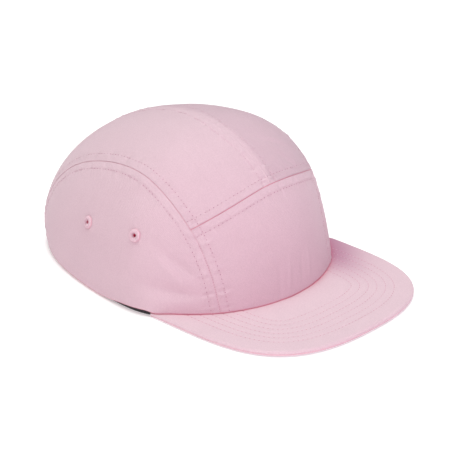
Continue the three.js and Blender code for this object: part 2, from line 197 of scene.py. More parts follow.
def beside_line(points: Array, line: Array) -> tuple[Array, Array]:
    """Measures points against a line.

    Args:
        points: The points to measure.
        line: The points of the line, in order.

    Returns:
        The distance to the line and the length along it of the nearest place, for each point.
    """
    start, step = line[:-1], np.diff(line, axis=0)
    square = np.maximum((step**2).sum(axis=1), 1e-12)
    reach = lengths_along(line)
    distance = np.empty(len(points))
    along = np.empty(len(points))
    for first in range(0, len(points), 2000):
        some = points[first : first + 2000, None, :] - start[None]
        share = np.clip((some * step).sum(axis=2) / square, 0.0, 1.0)
        gap = np.linalg.norm(some - share[..., None] * step, axis=2)
        nearest = gap.argmin(axis=1)
        rows = np.arange(len(nearest))
        distance[first : first + 2000] = gap[rows, nearest]
        place = reach[nearest] + share[rows, nearest] * np.sqrt(square[nearest])
        along[first : first + 2000] = place
    return distance, along


def smooth_curve(directions: Array) -> Curve:
    """Makes a smooth seam through directions, with its bends spread by their spacing.

    Args:
        directions: The unit vectors that it passes through, in order.

    Returns:
        A function from shares between 0 and 1 to unit vectors.
    """
    count = len(directions)
    knots = np.vstack([
        2.0 * directions[0] - directions[1],
        directions,
        2.0 * directions[-1] - directions[-2],
    ])

    def read(share: Array) -> Array:
        """Gives the seam's directions at shares of its knots.

        Args:
            share: Shares from 0 to 1.

        Returns:
            Unit vectors, one to a share.
        """
        place = np.clip(np.atleast_1d(share), 0.0, 1.0) * (count - 1)
        piece = np.minimum(place.astype(int), count - 2)
        t = (place - piece)[:, None]
        p0, p1, p2, p3 = (knots[piece + k] for k in range(4))
        d0 = np.sqrt(np.linalg.norm(p1 - p0, axis=1))[:, None]
        d1 = np.sqrt(np.linalg.norm(p2 - p1, axis=1))[:, None]
        d2 = np.sqrt(np.linalg.norm(p3 - p2, axis=1))[:, None]
        leave = ((p1 - p0) / d0 - (p2 - p0) / (d0 + d1) + (p2 - p1) / d1) * d1
        arrive = ((p2 - p1) / d1 - (p3 - p1) / (d1 + d2) + (p3 - p2) / d2) * d1
        bend = -3.0 * p1 + 3.0 * p2 - 2.0 * leave - arrive
        twist = 2.0 * p1 - 2.0 * p2 + leave + arrive
        return unit(p1 + t * (leave + t * (bend + t * twist)))

    return read


@dataclass(frozen=True)
class Swell:
    """A broad swell or hollow of the crown; out is a share of the crown's height."""

    around: float
    up: float
    spread: float
    out: float


@dataclass(frozen=True)
class Fold:
    """A soft fold; long and wide are half sizes, turn leans it from the level."""

    around: float
    up: float
    long: float
    wide: float
    turn: float
    out: float


@dataclass(frozen=True)
class Crown:
    """The outside of the cap's crown, as a distance from its middle in each direction."""

    front: float = 69.6
    back: float = 131.7
    half_width: float = 83.3
    height: float = 99.0
    widest_level: float = 12.0
    base_depth: float = 155.0
    lean: float = 0.162
    plan_front: float = 1.86
    plan_back: float = 2.27
    dome_front: float = 2.8
    dome_back: float = 1.84
    swells: tuple[Swell, ...] = (
        Swell(90, 68, 24, 0.035),
        Swell(0, 72, 20, -0.0215),
        Swell(62, 22, 25, -0.025),
        Swell(35, -6, 18, 0.0145),
        Swell(85, -6, 18, 0.018),
        Swell(150, -6, 14, 0.016),
        Swell(140, 2, 22, -0.005),
        Swell(180, 25, 25, -0.013),
    )
    folds: tuple[Fold, ...] = (
        Fold(-74, -2, 15, 3.5, -3, 0.0105),
        Fold(-66, 5, 15, 4, -8, -0.0115),
        Fold(-63, 16, 11, 4, -40, -0.009),
        Fold(-84, 44, 16, 4.5, 24, -0.01),
        Fold(74, 12, 14, 4.5, 55, -0.01),
        Fold(96, 42, 15, 5, -8, -0.009),
        Fold(150, 46, 13, 5, 60, -0.008),
        Fold(-160, 50, 13, 5, 75, -0.003),
    )
    ripples: tuple[Fold, ...] = (
        Fold(-10, 2, 9, 1.6, 84, -0.0034),
        Fold(-3, 4, 10, 1.5, 82, 0.003),
        Fold(7, 4, 10, 1.8, 80, -0.0036),
        Fold(14, 6, 9, 1.5, 82, 0.0024),
        Fold(40, 68, 10, 1.9, -62, -0.006),
        Fold(36, 55, 9, 1.8, -72, -0.005),
        Fold(50, 64, 12, 2.0, -62, 0.005),
        Fold(-69, 0.6, 11, 1.9, -4, 0.0068),
        Fold(-69, 4.8, 12, 2.2, -8, -0.0088),
        Fold(-65, 17.5, 10, 2.0, -32, -0.0065),
        Fold(-64, 10, 10, 2.0, -42, 0.0065),
        Fold(-53, 24, 3.2, 1.3, -38, -0.0045),
        Fold(-50, 28, 3.0, 1.2, -38, 0.0036),
        Fold(-56, 29, 2.4, 1.1, 40, -0.0032),
        Fold(-138, 6, 12, 5, 20, -0.005),
        Fold(-118, 8, 12, 3, 30, -0.0025),
        Fold(-100, 14, 12, 2.5, 20, 0.0018),
        Fold(44, 10, 9, 2.0, 60, -0.003),
        Fold(60, 30, 8, 2.2, 30, 0.002),
        Fold(118, 12, 12, 3.0, -25, -0.0035),
        Fold(-30, 30, 12, 3.0, 60, -0.0016),
        Fold(24, 34, 12, 3.0, 60, -0.0018),
    )

    @property
    def middle(self) -> Array:
        """The point that directions are counted from."""
        return np.array([0.0, 0.0, self.widest_level])

    @cached_property
    def swell_table(self) -> tuple[Array, Array, Array]:
        """Gives the swells of both sides: their middles, sharpness and heights.

        Returns:
            The three columns of the table.
        """
        rows = [
            (
                *towards(side * swell.around, swell.up),
                math.radians(swell.spread) ** -2,
                swell.out * self.height,
            )
            for swell in self.swells
            for side in ((1,) if swell.around % 180 == 0 else (-1, 1))
        ]
        table = np.array(rows)
        return table[:, :3], table[:, 3], table[:, 4]

    @cached_property
    def fold_table(self) -> tuple[Array, Array, Array, Array]:
        """Gives the folds: their middles, their axes along and across, and their heights.

        Returns:
            The four columns of the table.
        """
        rows = []
        for fold in self.folds + self.ripples:
            centre = towards(fold.around, fold.up)
            level = unit(np.cross([0.0, 0.0, 1.0], centre))
            rise = np.cross(centre, level)
            c, s = math.cos(math.radians(fold.turn)), math.sin(math.radians(fold.turn))
            along = (c * level + s * rise) / math.radians(fold.long)
            aside = (c * rise - s * level) / math.radians(fold.wide)
            rows.append([*centre, *along, *aside, fold.out * self.height])
        table = np.array(rows)
        return table[:, :3], table[:, 3:6], table[:, 6:9], table[:, 9]

    def reach(self, direction: Array) -> Array:
        """Gives the distance from the middle of the crown to its outside.

        Args:
            direction: Unit vectors.

        Returns:
            The distance in each direction.
        """
        x, y, z = direction[..., 0], direction[..., 1], direction[..., 2]
        ahead = y - self.lean * z
        frontness = 0.5 * (1.0 - y)
        plan = between(self.plan_back, self.plan_front, frontness)
        dome = between(self.dome_back, self.dome_front, frontness)
        length = np.where(ahead < 0.0, self.front, self.back)
        height = np.where(z >= 0.0, self.height - self.widest_level, self.base_depth)
        level = np.abs(x / self.half_width) ** plan + np.abs(ahead / length) ** plan
        body = (level ** (dome / plan) + np.abs(z / height) ** dome) ** (-1.0 / dome)
        middles, sharpness, heights = self.swell_table
        body = body + np.exp(sharpness * (direction @ middles.T - 1.0)) @ heights
        middles, along, aside, heights = self.fold_table
        lift = np.exp(-((direction @ along.T) ** 2) - (direction @ aside.T) ** 2)
        return body + (lift * (direction @ middles.T > 0.0)) @ heights

    def outside(self, direction: Array) -> Array:
        """Gives the points of the crown's outside in directions from its middle."""
        return direction * self.reach(direction)[..., None] + self.middle

    def direction_of(self, points: Array) -> Array:
        """Gives the directions in which points lie from the middle of the crown."""
        return unit(points - self.middle)

    def outwards(self, direction: Array) -> Array:
        """Gives the way that the cloth faces.

        Args:
            direction: Unit vectors.

        Returns:
            Unit normals that point out of the crown.
        """
        step = 0.002
        side = unit(np.cross(direction, [0.0, 1e-6, 1.0]))
        lift = np.cross(side, direction)
        across = self.outside(unit(direction + step * side)) - self.outside(unit(direction - step * side))
        along = self.outside(unit(direction + step * lift)) - self.outside(unit(direction - step * lift))
        return unit(np.cross(along, across))

    def inside_level(self, direction: Array, depth: Array) -> Array:
        """Gives points at a depth under the outside, reached by moving level.

        Args:
            direction: Unit vectors.
            depth: Depth under the outside.

        Returns:
            The points.
        """
        normal = self.outwards(direction)
        level = normal * np.array([1.0, 1.0, 0.0])
        level = unit(level)
        share = np.asarray(depth) / (normal * level).sum(axis=-1)
        return self.outside(direction) - level * share[..., None]

    def level_line(self, around: Array, height: Callable[[Array], Array]) -> Array:
        """Finds the line round the crown at a height that its own points decide.

        Args:
            around: Degrees from the front.
            height: The height wanted, from points of the line.

        Returns:
            Unit vectors towards the line.
        """
        around = np.atleast_1d(np.asarray(around, dtype=float))
        low, high = np.full(around.shape, -30.0), np.full(around.shape, 60.0)
        for _ in range(34):
            middle = 0.5 * (low + high)
            point = self.outside(towards(around, middle))
            below = point[..., 2] < height(point)
            low, high = np.where(below, middle, low), np.where(below, high, middle)
        return towards(around, 0.5 * (low + high))


@dataclass(frozen=True)
class CapPattern:
    """Where the cap's rim, seams, arch, peak and air holes lie on the crown."""

    crown: Crown = Crown()
    cloth: float = 1.6
    layer_gap: float = 0.55
    peak_reach: float = 64.0
    peak_end: float = 21.3
    peak_thickness: float = 3.6
    peak_end_thickness: float = 2.2
    peak_taper: float = 14.0
    peak_side_roundness: float = 2.55
    peak_tip_roundness: float = 4.3
    rim_clearance: float = 0.4
    rim_foot: float = 0.5
    rim_low_point: float = 30.0
    back_rise: float = 3.8
    arch_width: float = 76.0
    arch_height: float = 42.0
    foot_front: float = 43.6
    foot_back: float = 156.0
    front_seam_middle: float = 51.5
    front_seam_right: tuple[float, float, float] = (58.9, 33.2, 1.85)
    front_seam_left: tuple[float, float, float] = (61.8, 35.7, 2.05)
    left_junction: tuple[float, float] = (57, 45.4)
    side_seam_rows: tuple[tuple[float, float], ...] = (
        (19, 46.6), (51.7, 45.8), (89, 40.9), (120, 35.3), (151, 27.8),
    )
    centre_seam_rows: tuple[tuple[float, float], ...] = (
        (68, -0.4), (84, -1.8), (96, -0.2), (111, 1.6), (140, 0.2),
    )
    eyelets: tuple[tuple[str, float, float], ...] = (
        ("front_eyelet", 86.3, 25.8), ("rear_eyelet", 117.0, 20.7),
    )

    @property
    def junction(self) -> float:
        """The share of a side seam at which the front seam meets it."""
        return 2.0 / (len(self.side_seam_rows) + 1)

    def rise_at(self, y: Array) -> Array:
        """Gives how far the rim rises towards the back of the head."""
        share = np.maximum(0.0, (y - self.rim_low_point) / (self.crown.back - self.rim_low_point))
        return self.back_rise * share**2

    def peak_thickness_at(self, y: Array) -> Array:
        """Gives the peak's thickness, which is less towards its two ends."""
        taper = smoothstep(y, -self.peak_end - self.peak_taper, -self.peak_end)
        return between(self.peak_thickness, self.peak_end_thickness, taper)

    def rim_height(self, y: Array) -> Array:
        """Gives the height of the cloth's lower edge.

        Args:
            y: Places along the cap.

        Returns:
            The height above the floor at each place.
        """
        over_peak = self.peak_thickness_at(y) + self.rim_clearance
        drop = smoothstep(y, -self.peak_end, self.rim_low_point)
        return over_peak + (self.rim_foot - over_peak) * drop + self.rise_at(y)

    def rim(self, around: Array) -> Array:
        """Gives directions to the cloth's lower edge."""
        return self.crown.level_line(around, lambda point: self.rim_height(point[..., 1]))

    def around_at(self, axis: int, value: float) -> float:
        """Finds where the rim reaches a place.

        Args:
            axis: 0 finds a place by its width behind the ears, 1 by its length.
            value: The place, in millimetres.

        Returns:
            Degrees from the front.
        """
        around = np.linspace(90.0 if axis == 0 else 0.0, 180.0, 1801)
        places = self.crown.outside(self.rim(around))[:, axis]
        rising = -1.0 if axis == 0 else 1.0
        return float(np.interp(rising * value, rising * places, around))

    def side_seam(self, side: Side) -> Curve:
        """Gives the seam between a side panel and its neighbours, from its front foot.

        Args:
            side: The side that the panel is on.

        Returns:
            A function from shares to unit vectors.
        """
        places = list(self.side_seam_rows)
        if side is Side.LEFT:
            places[1] = self.left_junction
        rows = [over_top(over, side.value * across) for over, across in places]
        first, last = self.rim(side.value * np.array([self.foot_front, self.foot_back]))
        return smooth_curve(np.vstack([first, *rows, last]))

    def plain_front_seam(self, share: Array) -> Array:
        """Gives the arch of the front seam from the right, at -1, to the left, at 1.

        Args:
            share: Shares from -1 to 1.

        Returns:
            Unit vectors, one to a share.
        """
        share = np.atleast_1d(share)
        ends = zip(self.front_seam_right, self.front_seam_left)
        around, up, bow = (np.where(share < 0.0, right, left) for right, left in ends)
        drop = (self.front_seam_middle - up) * np.abs(share) ** bow
        return towards(around * share, self.front_seam_middle - drop)

    def front_seam(self) -> Curve:
        """Gives the front seam with its ends drawn to the side seams.

        Returns:
            A function from shares to unit vectors.
        """
        slips = {
            side.value: self.side_seam(side)(np.array([self.junction]))[0]
            - self.plain_front_seam(np.array([side.value]))[0]
            for side in Side
        }

        def read(share: Array) -> Array:
            """Gives the seam's directions from -1 at the right to 1 at the left.

            Args:
                share: Shares from -1 to 1.

            Returns:
                Unit vectors, one to a share.
            """
            share = np.atleast_1d(share)
            slip = np.where(share[:, None] < 0.0, slips[-1], slips[1])
            return unit(self.plain_front_seam(share) + slip * np.abs(share)[:, None])

        return read

    def centre_seam(self) -> Curve:
        """Gives the seam over the top, from the front seam to the rim.

        Returns:
            A function from shares to unit vectors.
        """
        rows = [over_top(over, across) for over, across in self.centre_seam_rows]
        first = self.plain_front_seam(np.array([0.0]))[0]
        last = self.rim(np.array([180.0]))[0]
        return smooth_curve(np.vstack([first, *rows, last]))

    def arch(self, side: Side) -> Curve:
        """Gives half of the arch's edge, from its top to its foot at one side.

        Args:
            side: The side that the half lies on.

        Returns:
            A function from shares to unit vectors.
        """
        foot = float(self.rim_height(np.array(self.crown.back)))

        def read(share: Array) -> Array:
            """Gives directions to the arch's edge.

            Args:
                share: Shares from the top, at 0, to the foot, at 1.

            Returns:
                Unit vectors, one to a share.
            """
            turn = 0.5 * np.pi * np.atleast_1d(share)
            x = side.value * 0.5 * self.arch_width * np.sin(turn)
            z = foot + self.arch_height * np.cos(turn)
            point = np.stack([x, np.full(x.shape, self.crown.back), z], axis=1)
            for _ in range(12):
                place = self.crown.outside(self.crown.direction_of(point))
                point[:, 1] = place[:, 1]
            return self.crown.direction_of(point)

        return read


@dataclass(frozen=True)
class Placement:
    """Carries millimetres of the crown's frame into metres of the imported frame."""

    shift_x: float
    shift_y: float

    @classmethod
    def from_peak(cls, tip: float) -> "Placement":
        """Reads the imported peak's place.

        Args:
            tip: How far the peak's tip is ahead of the middle of the crown.

        Returns:
            The placement.
        """
        low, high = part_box("peak")
        return cls(0.5 * (low.x + high.x) / METRES, low.y / METRES + tip)

    def metres(self, points: Array) -> Array:
        """Gives points in metres."""
        return (points + np.array([self.shift_x, self.shift_y, 0.0])) * METRES


class NodeSketch:
    """Builds the nodes of one material."""

    def __init__(self, name: str) -> None:
        """Makes an empty material with a principled shader.

        Args:
            name: The material's name.
        """
        self.material = bpy.data.materials.new(name)
        self.material.use_nodes = True
        self.tree = self.material.node_tree
        self.tree.nodes.clear()
        self.shader = self.add("ShaderNodeBsdfPrincipled")
        output = self.add("ShaderNodeOutputMaterial")
        self.link(self.shader, "BSDF", output, "Surface")

    def add(self, kind: str, **settings: object) -> bpy.types.Node:
        """Adds a node and sets its properties.

        Args:
            kind: The node's type.
            settings: Properties of the node by name.

        Returns:
            The node.
        """
        node = self.tree.nodes.new(kind)
        for key, value in settings.items():
            setattr(node, key, value)
        return node

    def link(self, source: bpy.types.Node, out: str | int, target: bpy.types.Node, into: str | int) -> None:
        """Links an output of one node to an input of another."""
        self.tree.links.new(source.outputs[out], target.inputs[into])

    def feed(self, target: bpy.types.Node, into: int, value: object) -> None:
        """Links a value to an input of a node, or sets it.

        Args:
            target: The node.
            into: The input's number.
            value: A node, a node with an output's name, or a number.
        """
        if isinstance(value, tuple):
            self.link(*value, target, into)
        elif isinstance(value, bpy.types.Node):
            self.link(value, 0, target, into)
        else:
            target.inputs[into].default_value = float(value)

    def set_shader(self, **numbers: object) -> None:
        """Sets sockets of the principled shader, with spaces written as underscores."""
        for key, value in numbers.items():
            self.shader.inputs[key.replace("_", " ")].default_value = value

    def math(self, operation: str, first: object, second: object = 0.0, third: object = 0.0,
             clamp: bool = False) -> bpy.types.Node:
        """Adds a math node.

        Args:
            operation: The operation's name.
            first: A node, a node with an output's name, or a number.
            second: The same, for the second input.
            third: The same, for the third input, which only some operations use.
            clamp: Whether the result is held between 0 and 1.

        Returns:
            The node.
        """
        node = self.add("ShaderNodeMath", operation=operation, use_clamp=clamp)
        for index, value in enumerate((first, second, third)):
            self.feed(node, index, value)
        return node

    def noise(self, scale: float, detail: float, roughness: float = 0.5) -> bpy.types.Node:
        """Adds noise on the object's own coordinates.

        Args:
            scale: Patches to a metre.
            detail: Octaves of finer noise.
            roughness: How strong the finer noise is.

        Returns:
            The node, whose first output is the noise.
        """
        place = self.add("ShaderNodeTexCoord")
        node = self.add("ShaderNodeTexNoise")
        node.inputs["Scale"].default_value = scale
        node.inputs["Detail"].default_value = detail
        node.inputs["Roughness"].default_value = roughness
        self.link(place, "Object", node, "Vector")
        return node

    def wave(self, uv_name: str, turn: float, pitch: float, wobble: Optional[bpy.types.Node] = None,
             wobble_by: float = 0.0) -> bpy.types.Node:
        """Adds a sine wave that crosses a map of the cloth.

        Args:
            uv_name: The UV map, in millimetres.
            turn: Degrees from the map's first axis to the way that the wave travels.
            pitch: The wave's length in millimetres.
            wobble: Noise that bends the wave.
            wobble_by: How far the noise bends it, in millimetres.

        Returns:
            The node, between -1 and 1.
        """
        place = self.add("ShaderNodeUVMap", uv_map=uv_name)
        dot = self.add("ShaderNodeVectorMath", operation="DOT_PRODUCT")
        self.link(place, "UV", dot, 0)
        angle = math.radians(turn)
        dot.inputs[1].default_value = (math.cos(angle), math.sin(angle), 0.0)
        travel: object = (dot, "Value")
        if wobble is not None:
            travel = self.math("ADD", travel, self.math("MULTIPLY", wobble, wobble_by))
        return self.math("SINE", self.math("MULTIPLY", travel, 2.0 * math.pi / pitch))

    def mix(self, factor: object, first: object, second: object) -> bpy.types.Node:
        """Mixes two colours.

        Args:
            factor: A node, a node with an output's name, or a number.
            first: A node whose output 2 is a colour, or a colour.
            second: The same, for the other colour.

        Returns:
            The node, whose output 2 is the colour.
        """
        node = self.add("ShaderNodeMix", data_type="RGBA")
        self.feed(node, 0, factor)
        for index, value in ((6, first), (7, second)):
            if isinstance(value, bpy.types.Node):
                self.link(value, 2, node, index)
            else:
                node.inputs[index].default_value = (*value, 1.0)
        return node

    def bump(self, height: bpy.types.Node, strength: float, distance: float) -> None:
        """Raises the surface by a height.

        Args:
            height: The node that gives the height.
            strength: The share of the effect.
            distance: Metres for a height of 1.
        """
        node = self.add("ShaderNodeBump")
        node.inputs["Strength"].default_value = strength
        node.inputs["Distance"].default_value = distance
        self.link(height, 0, node, "Height")
        self.link(node, "Normal", self.shader, "Normal")


class Finish(Protocol):
    """What every finish has: a name, and a way to make its material."""

    @property
    def name(self) -> str:
        """The material's name."""

    def material(self) -> bpy.types.Material:
        """Makes the material."""


@dataclass(frozen=True)
class BrushedTwill:
    """Brushed cotton twill with fine slanting lines, darkened by painted shade in its creases and by painted
    shadow.
    """

    name: str
    light: Colour
    dark: Colour
    # The colour of the painted shade in seams, creases and joints; shadow is the colour of the painted
    # shadow.
    crease: Colour
    shadow: Colour
    line_turn: float = 118.0
    line_pitch: float = 1.05

    def material(self) -> bpy.types.Material:
        """Makes the material.

        Returns:
            The material.
        """
        sketch = NodeSketch(self.name)
        sketch.set_shader(Roughness=0.9, Specular_IOR_Level=0.15, Sheen_Weight=0.22, Sheen_Roughness=0.45)
        fuzz = sketch.noise(1500.0, 3.0, 0.6)
        patches = sketch.noise(55.0, 4.0, 0.55)
        lines = sketch.wave("cloth", self.line_turn, self.line_pitch, patches, 0.9)
        yarns = sketch.wave("cloth", self.line_turn - 62.0, 0.62, fuzz, 0.35)
        weave = sketch.math("MULTIPLY_ADD", lines, 0.5, sketch.math("MULTIPLY", yarns, 0.22))
        grain = sketch.math("ADD", sketch.math("MULTIPLY", weave, 0.12),
                            sketch.math("MULTIPLY", sketch.math("SUBTRACT", fuzz, 0.5), 1.5))
        tone = sketch.math("ADD", sketch.math("ADD", grain, 0.5),
                           sketch.math("MULTIPLY", sketch.math("SUBTRACT", patches, 0.5), 0.25), clamp=True)
        plain = sketch.mix(tone, self.dark, self.light)
        # Painted shade: the crease and shade attributes mix the cloth towards its painted shade colours.
        crease = sketch.add("ShaderNodeAttribute", attribute_name="crease")
        shade = sketch.add("ShaderNodeAttribute", attribute_name="shade")
        shaded = sketch.mix((shade, "Fac"), plain, self.shadow)
        sketch.link(sketch.mix((crease, "Fac"), shaded, self.crease), 2, sketch.shader, "Base Color")
        height = sketch.math("MULTIPLY_ADD", weave, 0.55, fuzz)
        sketch.bump(height, 0.7, 0.00024)
        return sketch.material


@dataclass(frozen=True)
class StitchThread:
    """Polyester thread with a fine twist."""

    name: str
    light: Colour
    dark: Colour

    def material(self) -> bpy.types.Material:
        """Makes the material.

        Returns:
            The material.
        """
        sketch = NodeSketch(self.name)
        sketch.set_shader(Roughness=0.6, Specular_IOR_Level=0.35, Sheen_Weight=0.15)
        twist = sketch.noise(2600.0, 2.0)
        sketch.link(sketch.mix(twist, self.dark, self.light), 2, sketch.shader, "Base Color")
        sketch.bump(twist, 0.4, 0.00005)
        return sketch.material


@dataclass(frozen=True)
class NeedleHole:
    """The shade down in a hole that a needle left."""

    name: str
    light: Colour
    dark: Colour

    def material(self) -> bpy.types.Material:
        """Makes the material.

        Returns:
            The material.
        """
        sketch = NodeSketch(self.name)
        sketch.set_shader(Roughness=1.0, Specular_IOR_Level=0.0)
        shade = sketch.noise(900.0, 1.0)
        sketch.link(sketch.mix(shade, self.dark, self.light), 2, sketch.shader, "Base Color")
        return sketch.material


@dataclass(frozen=True)
class SatinStitch:
    """Threads laid side by side round an air hole, with painted shade down in the hole and round the ring's
    edge.
    """

    name: str
    light: Colour
    dark: Colour
    # The colour of the painted shade down in the hole.
    hollow: Colour

    def material(self) -> bpy.types.Material:
        """Makes the material.

        Returns:
            The material.
        """
        sketch = NodeSketch(self.name)
        sketch.set_shader(Roughness=0.55, Specular_IOR_Level=0.3, Sheen_Weight=0.04)
        strands = sketch.wave("ring", 0.0, 1.0)
        fibres = sketch.noise(2400.0, 2.0)
        lift = sketch.math("ADD", sketch.math("MULTIPLY", strands, 0.3), 0.55)
        tone = sketch.math("ADD", lift,
                           sketch.math("MULTIPLY", sketch.math("SUBTRACT", fibres, 0.5), 0.5), clamp=True)
        thread = sketch.mix(tone, self.dark, self.light)
        # Painted shade down in the bore and round the ring's outer edge.
        depth = sketch.add("ShaderNodeAttribute", attribute_name="crease")
        sketch.link(sketch.mix((depth, "Fac"), thread, self.hollow), 2, sketch.shader, "Base Color")
        sketch.bump(sketch.math("ADD", strands, fibres), 0.35, 0.00006)
        return sketch.material


@dataclass(frozen=True)
class WovenTape:
    """Ribbed tape or webbing, whose ribs run along or across it."""

    name: str
    light: Colour
    dark: Colour
    rib_turn: float
    rib_pitch: float
    yarn_pitch: float
    roughness: float = 0.85

    def material(self) -> bpy.types.Material:
        """Makes the material.

        Returns:
            The material.
        """
        sketch = NodeSketch(self.name)
        sketch.set_shader(Roughness=self.roughness, Specular_IOR_Level=0.2, Sheen_Weight=0.2)
        ribs = sketch.wave("cloth", self.rib_turn, self.rib_pitch)
        yarns = sketch.wave("cloth", self.rib_turn + 90.0, self.yarn_pitch)
        lint = sketch.noise(1100.0, 3.0)
        woven = sketch.math("MULTIPLY_ADD", ribs, 0.35, sketch.math("MULTIPLY_ADD", yarns, 0.2, 0.5))
        tone = sketch.math("ADD", sketch.math("ADD", woven, 0.5),
                           sketch.math("MULTIPLY", sketch.math("SUBTRACT", lint, 0.5), 0.8), clamp=True)
        sketch.link(sketch.mix(tone, self.dark, self.light), 2, sketch.shader, "Base Color")
        sketch.bump(sketch.math("ADD", woven, sketch.math("MULTIPLY", lint, 0.4)), 0.6, 0.00018)
        return sketch.material


@dataclass(frozen=True)
class SatinSteel:
    """Satin metal with fine drawn lines and roughness that varies in patches."""

    name: str
    light: Colour
    dark: Colour

    def material(self) -> bpy.types.Material:
        """Makes the material.

        Returns:
            The material.
        """
        sketch = NodeSketch(self.name)
        sketch.set_shader(Metallic=1.0, Specular_IOR_Level=0.5)
        place = sketch.add("ShaderNodeTexCoord")
        stretch = sketch.add("ShaderNodeMapping")
        stretch.inputs["Scale"].default_value = (120.0, 3800.0, 3800.0)
        sketch.link(place, "Object", stretch, "Vector")
        lines = sketch.add("ShaderNodeTexNoise")
        lines.inputs["Scale"].default_value = 1.0
        lines.inputs["Detail"].default_value = 3.0
        sketch.link(stretch, "Vector", lines, "Vector")
        wear = sketch.noise(240.0, 3.0)
        sketch.link(sketch.mix(lines, self.dark, self.light), 2, sketch.shader, "Base Color")
        sketch.link(sketch.math("MULTIPLY_ADD", wear, 0.25, 0.26), 0, sketch.shader, "Roughness")
        sketch.bump(lines, 0.25, 0.00003)
        return sketch.material


@dataclass(frozen=True)
class PaleFloor:
    """A plain pale studio floor that stays bright under the cap."""

    name: str
    light: Colour
    dark: Colour
    glow: float

    def material(self) -> bpy.types.Material:
        """Makes the material.

        Returns:
            The material.
        """
        sketch = NodeSketch(self.name)
        sketch.set_shader(Roughness=0.95, Specular_IOR_Level=0.05, Emission_Strength=self.glow,
                          Emission_Color=(1.0, 1.0, 1.0, 1.0))
        cloud = sketch.noise(3.0, 2.0)
        sketch.link(sketch.mix(cloud, self.dark, self.light), 2, sketch.shader, "Base Color")
        return sketch.material


@dataclass
class Finishes:
    """Every material of the cap and its studio, made once."""

    # The third colour of each twill is its painted shade in creases, and the fourth its painted shadow.
    crown_twill: BrushedTwill = BrushedTwill(
        "pink_brushed_twill", (0.76, 0.556, 0.622), (0.63, 0.436, 0.505), (0.68, 0.1, 0.2), (0.45, 0.3, 0.37))
    peak_twill: BrushedTwill = BrushedTwill(
        "pink_peak_twill", (0.8, 0.6, 0.662), (0.67, 0.48, 0.547), (0.68, 0.1, 0.2), (0.45, 0.17, 0.3), 28.0)
    thread: StitchThread = StitchThread("pink_stitch_thread", (0.76, 0.52, 0.6), (0.6, 0.38, 0.46))
    hole: NeedleHole = NeedleHole("needle_hole_shade", (0.5, 0.22, 0.32), (0.4, 0.15, 0.24))
    peak_thread: StitchThread = StitchThread("rosy_stitch_thread", (0.77, 0.53, 0.61), (0.62, 0.38, 0.47))
    peak_hole: NeedleHole = NeedleHole("rosy_needle_hole_shade", (0.66, 0.28, 0.4), (0.54, 0.2, 0.31))
    # The satin's third colour is the painted shade down in the air hole.
    satin: SatinStitch = SatinStitch(
        "pink_satin_stitch", (0.86, 0.65, 0.71), (0.62, 0.38, 0.47), (0.66, 0.035, 0.11))
    band: WovenTape = WovenTape(
        "black_woven_band", (0.032, 0.031, 0.034), (0.007, 0.007, 0.008), 0.0, 0.9, 0.7)
    webbing: WovenTape = WovenTape(
        "pink_webbing", (0.76, 0.53, 0.61), (0.52, 0.31, 0.39), 90.0, 1.3, 1.0)
    steel: SatinSteel = SatinSteel("satin_steel", (0.62, 0.61, 0.6), (0.42, 0.41, 0.4))
    made: dict[str, bpy.types.Material] = field(default_factory=dict)

    def get(self, finish: Finish) -> bpy.types.Material:
        """Gives a finish's material, made when it is first asked for.

        Args:
            finish: One of the finishes.

        Returns:
            The material.
        """
        if finish.name not in self.made:
            self.made[finish.name] = finish.material()
        return self.made[finish.name]


class MeshMaker:
    """Turns a bmesh into a finished piece of the cap."""

    def __init__(self, placement: Placement, finishes: Finishes) -> None:
        """Keeps what every piece needs.

        Args:
            placement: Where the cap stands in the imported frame.
            finishes: The materials.
        """
        self.placement = placement
        self.finishes = finishes

    def piece(self, name: str, bm: bmesh.types.BMesh, finishes: Iterable[Finish], slot: str,
              replaces: tuple[str, ...] = ()) -> bpy.types.Object:
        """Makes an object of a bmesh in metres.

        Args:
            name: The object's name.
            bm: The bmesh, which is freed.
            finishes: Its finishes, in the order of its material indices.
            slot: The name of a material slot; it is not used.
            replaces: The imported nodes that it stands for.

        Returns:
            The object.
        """
        mesh = bpy.data.meshes.new(name)
        bm.to_mesh(mesh)
        bm.free()
        for finish in finishes:
            mesh.materials.append(self.finishes.get(finish))
        piece = bpy.data.objects.new(name, mesh)
        bpy.context.scene.collection.objects.link(piece)
        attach(piece, "root")
        if replaces:
            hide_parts(*replaces)
        triangles = sum(len(face.vertices) - 2 for face in mesh.polygons)
        LOG.info("%s: %d triangles", name, triangles)
        return piece

    def set_points(self, vertices: Iterable[bmesh.types.BMVert], points: Array) -> None:
        """Moves vertices to points given in millimetres."""
        for vertex, point in zip(vertices, self.placement.metres(points).tolist()):
            vertex.co = point


def store_map(piece: bpy.types.Object, name: str, values: Array) -> None:
    """Keeps a UV map that is given for each vertex.

    Args:
        piece: The object.
        name: The map's name.
        values: Two numbers for each vertex.
    """
    mesh = piece.data
    layer = mesh.uv_layers.new(name=name)
    corners = np.empty(len(mesh.loops), dtype=np.int32)
    mesh.loops.foreach_get("vertex_index", corners)
    layer.data.foreach_set("uv", values[corners].astype(np.float32).ravel())


def store_number(piece: bpy.types.Object, name: str, values: Array) -> None:
    """Keeps an attribute that is given for each vertex.

    Args:
        piece: The object.
        name: The attribute's name.
        values: One number for each vertex.
    """
    layer = piece.data.attributes.new(name=name, type="FLOAT", domain="POINT")
    layer.data.foreach_set("value", values.astype(np.float32))


def spots_of(piece: bpy.types.Object) -> Array:
    """Reads which spot of its grid each vertex was made from.

    Args:
        piece: The object.

    Returns:
        One number for each vertex.
    """
    spots = np.empty(len(piece.data.vertices), dtype=np.int32)
    piece.data.attributes["spot"].data.foreach_get("value", spots)
    return spots


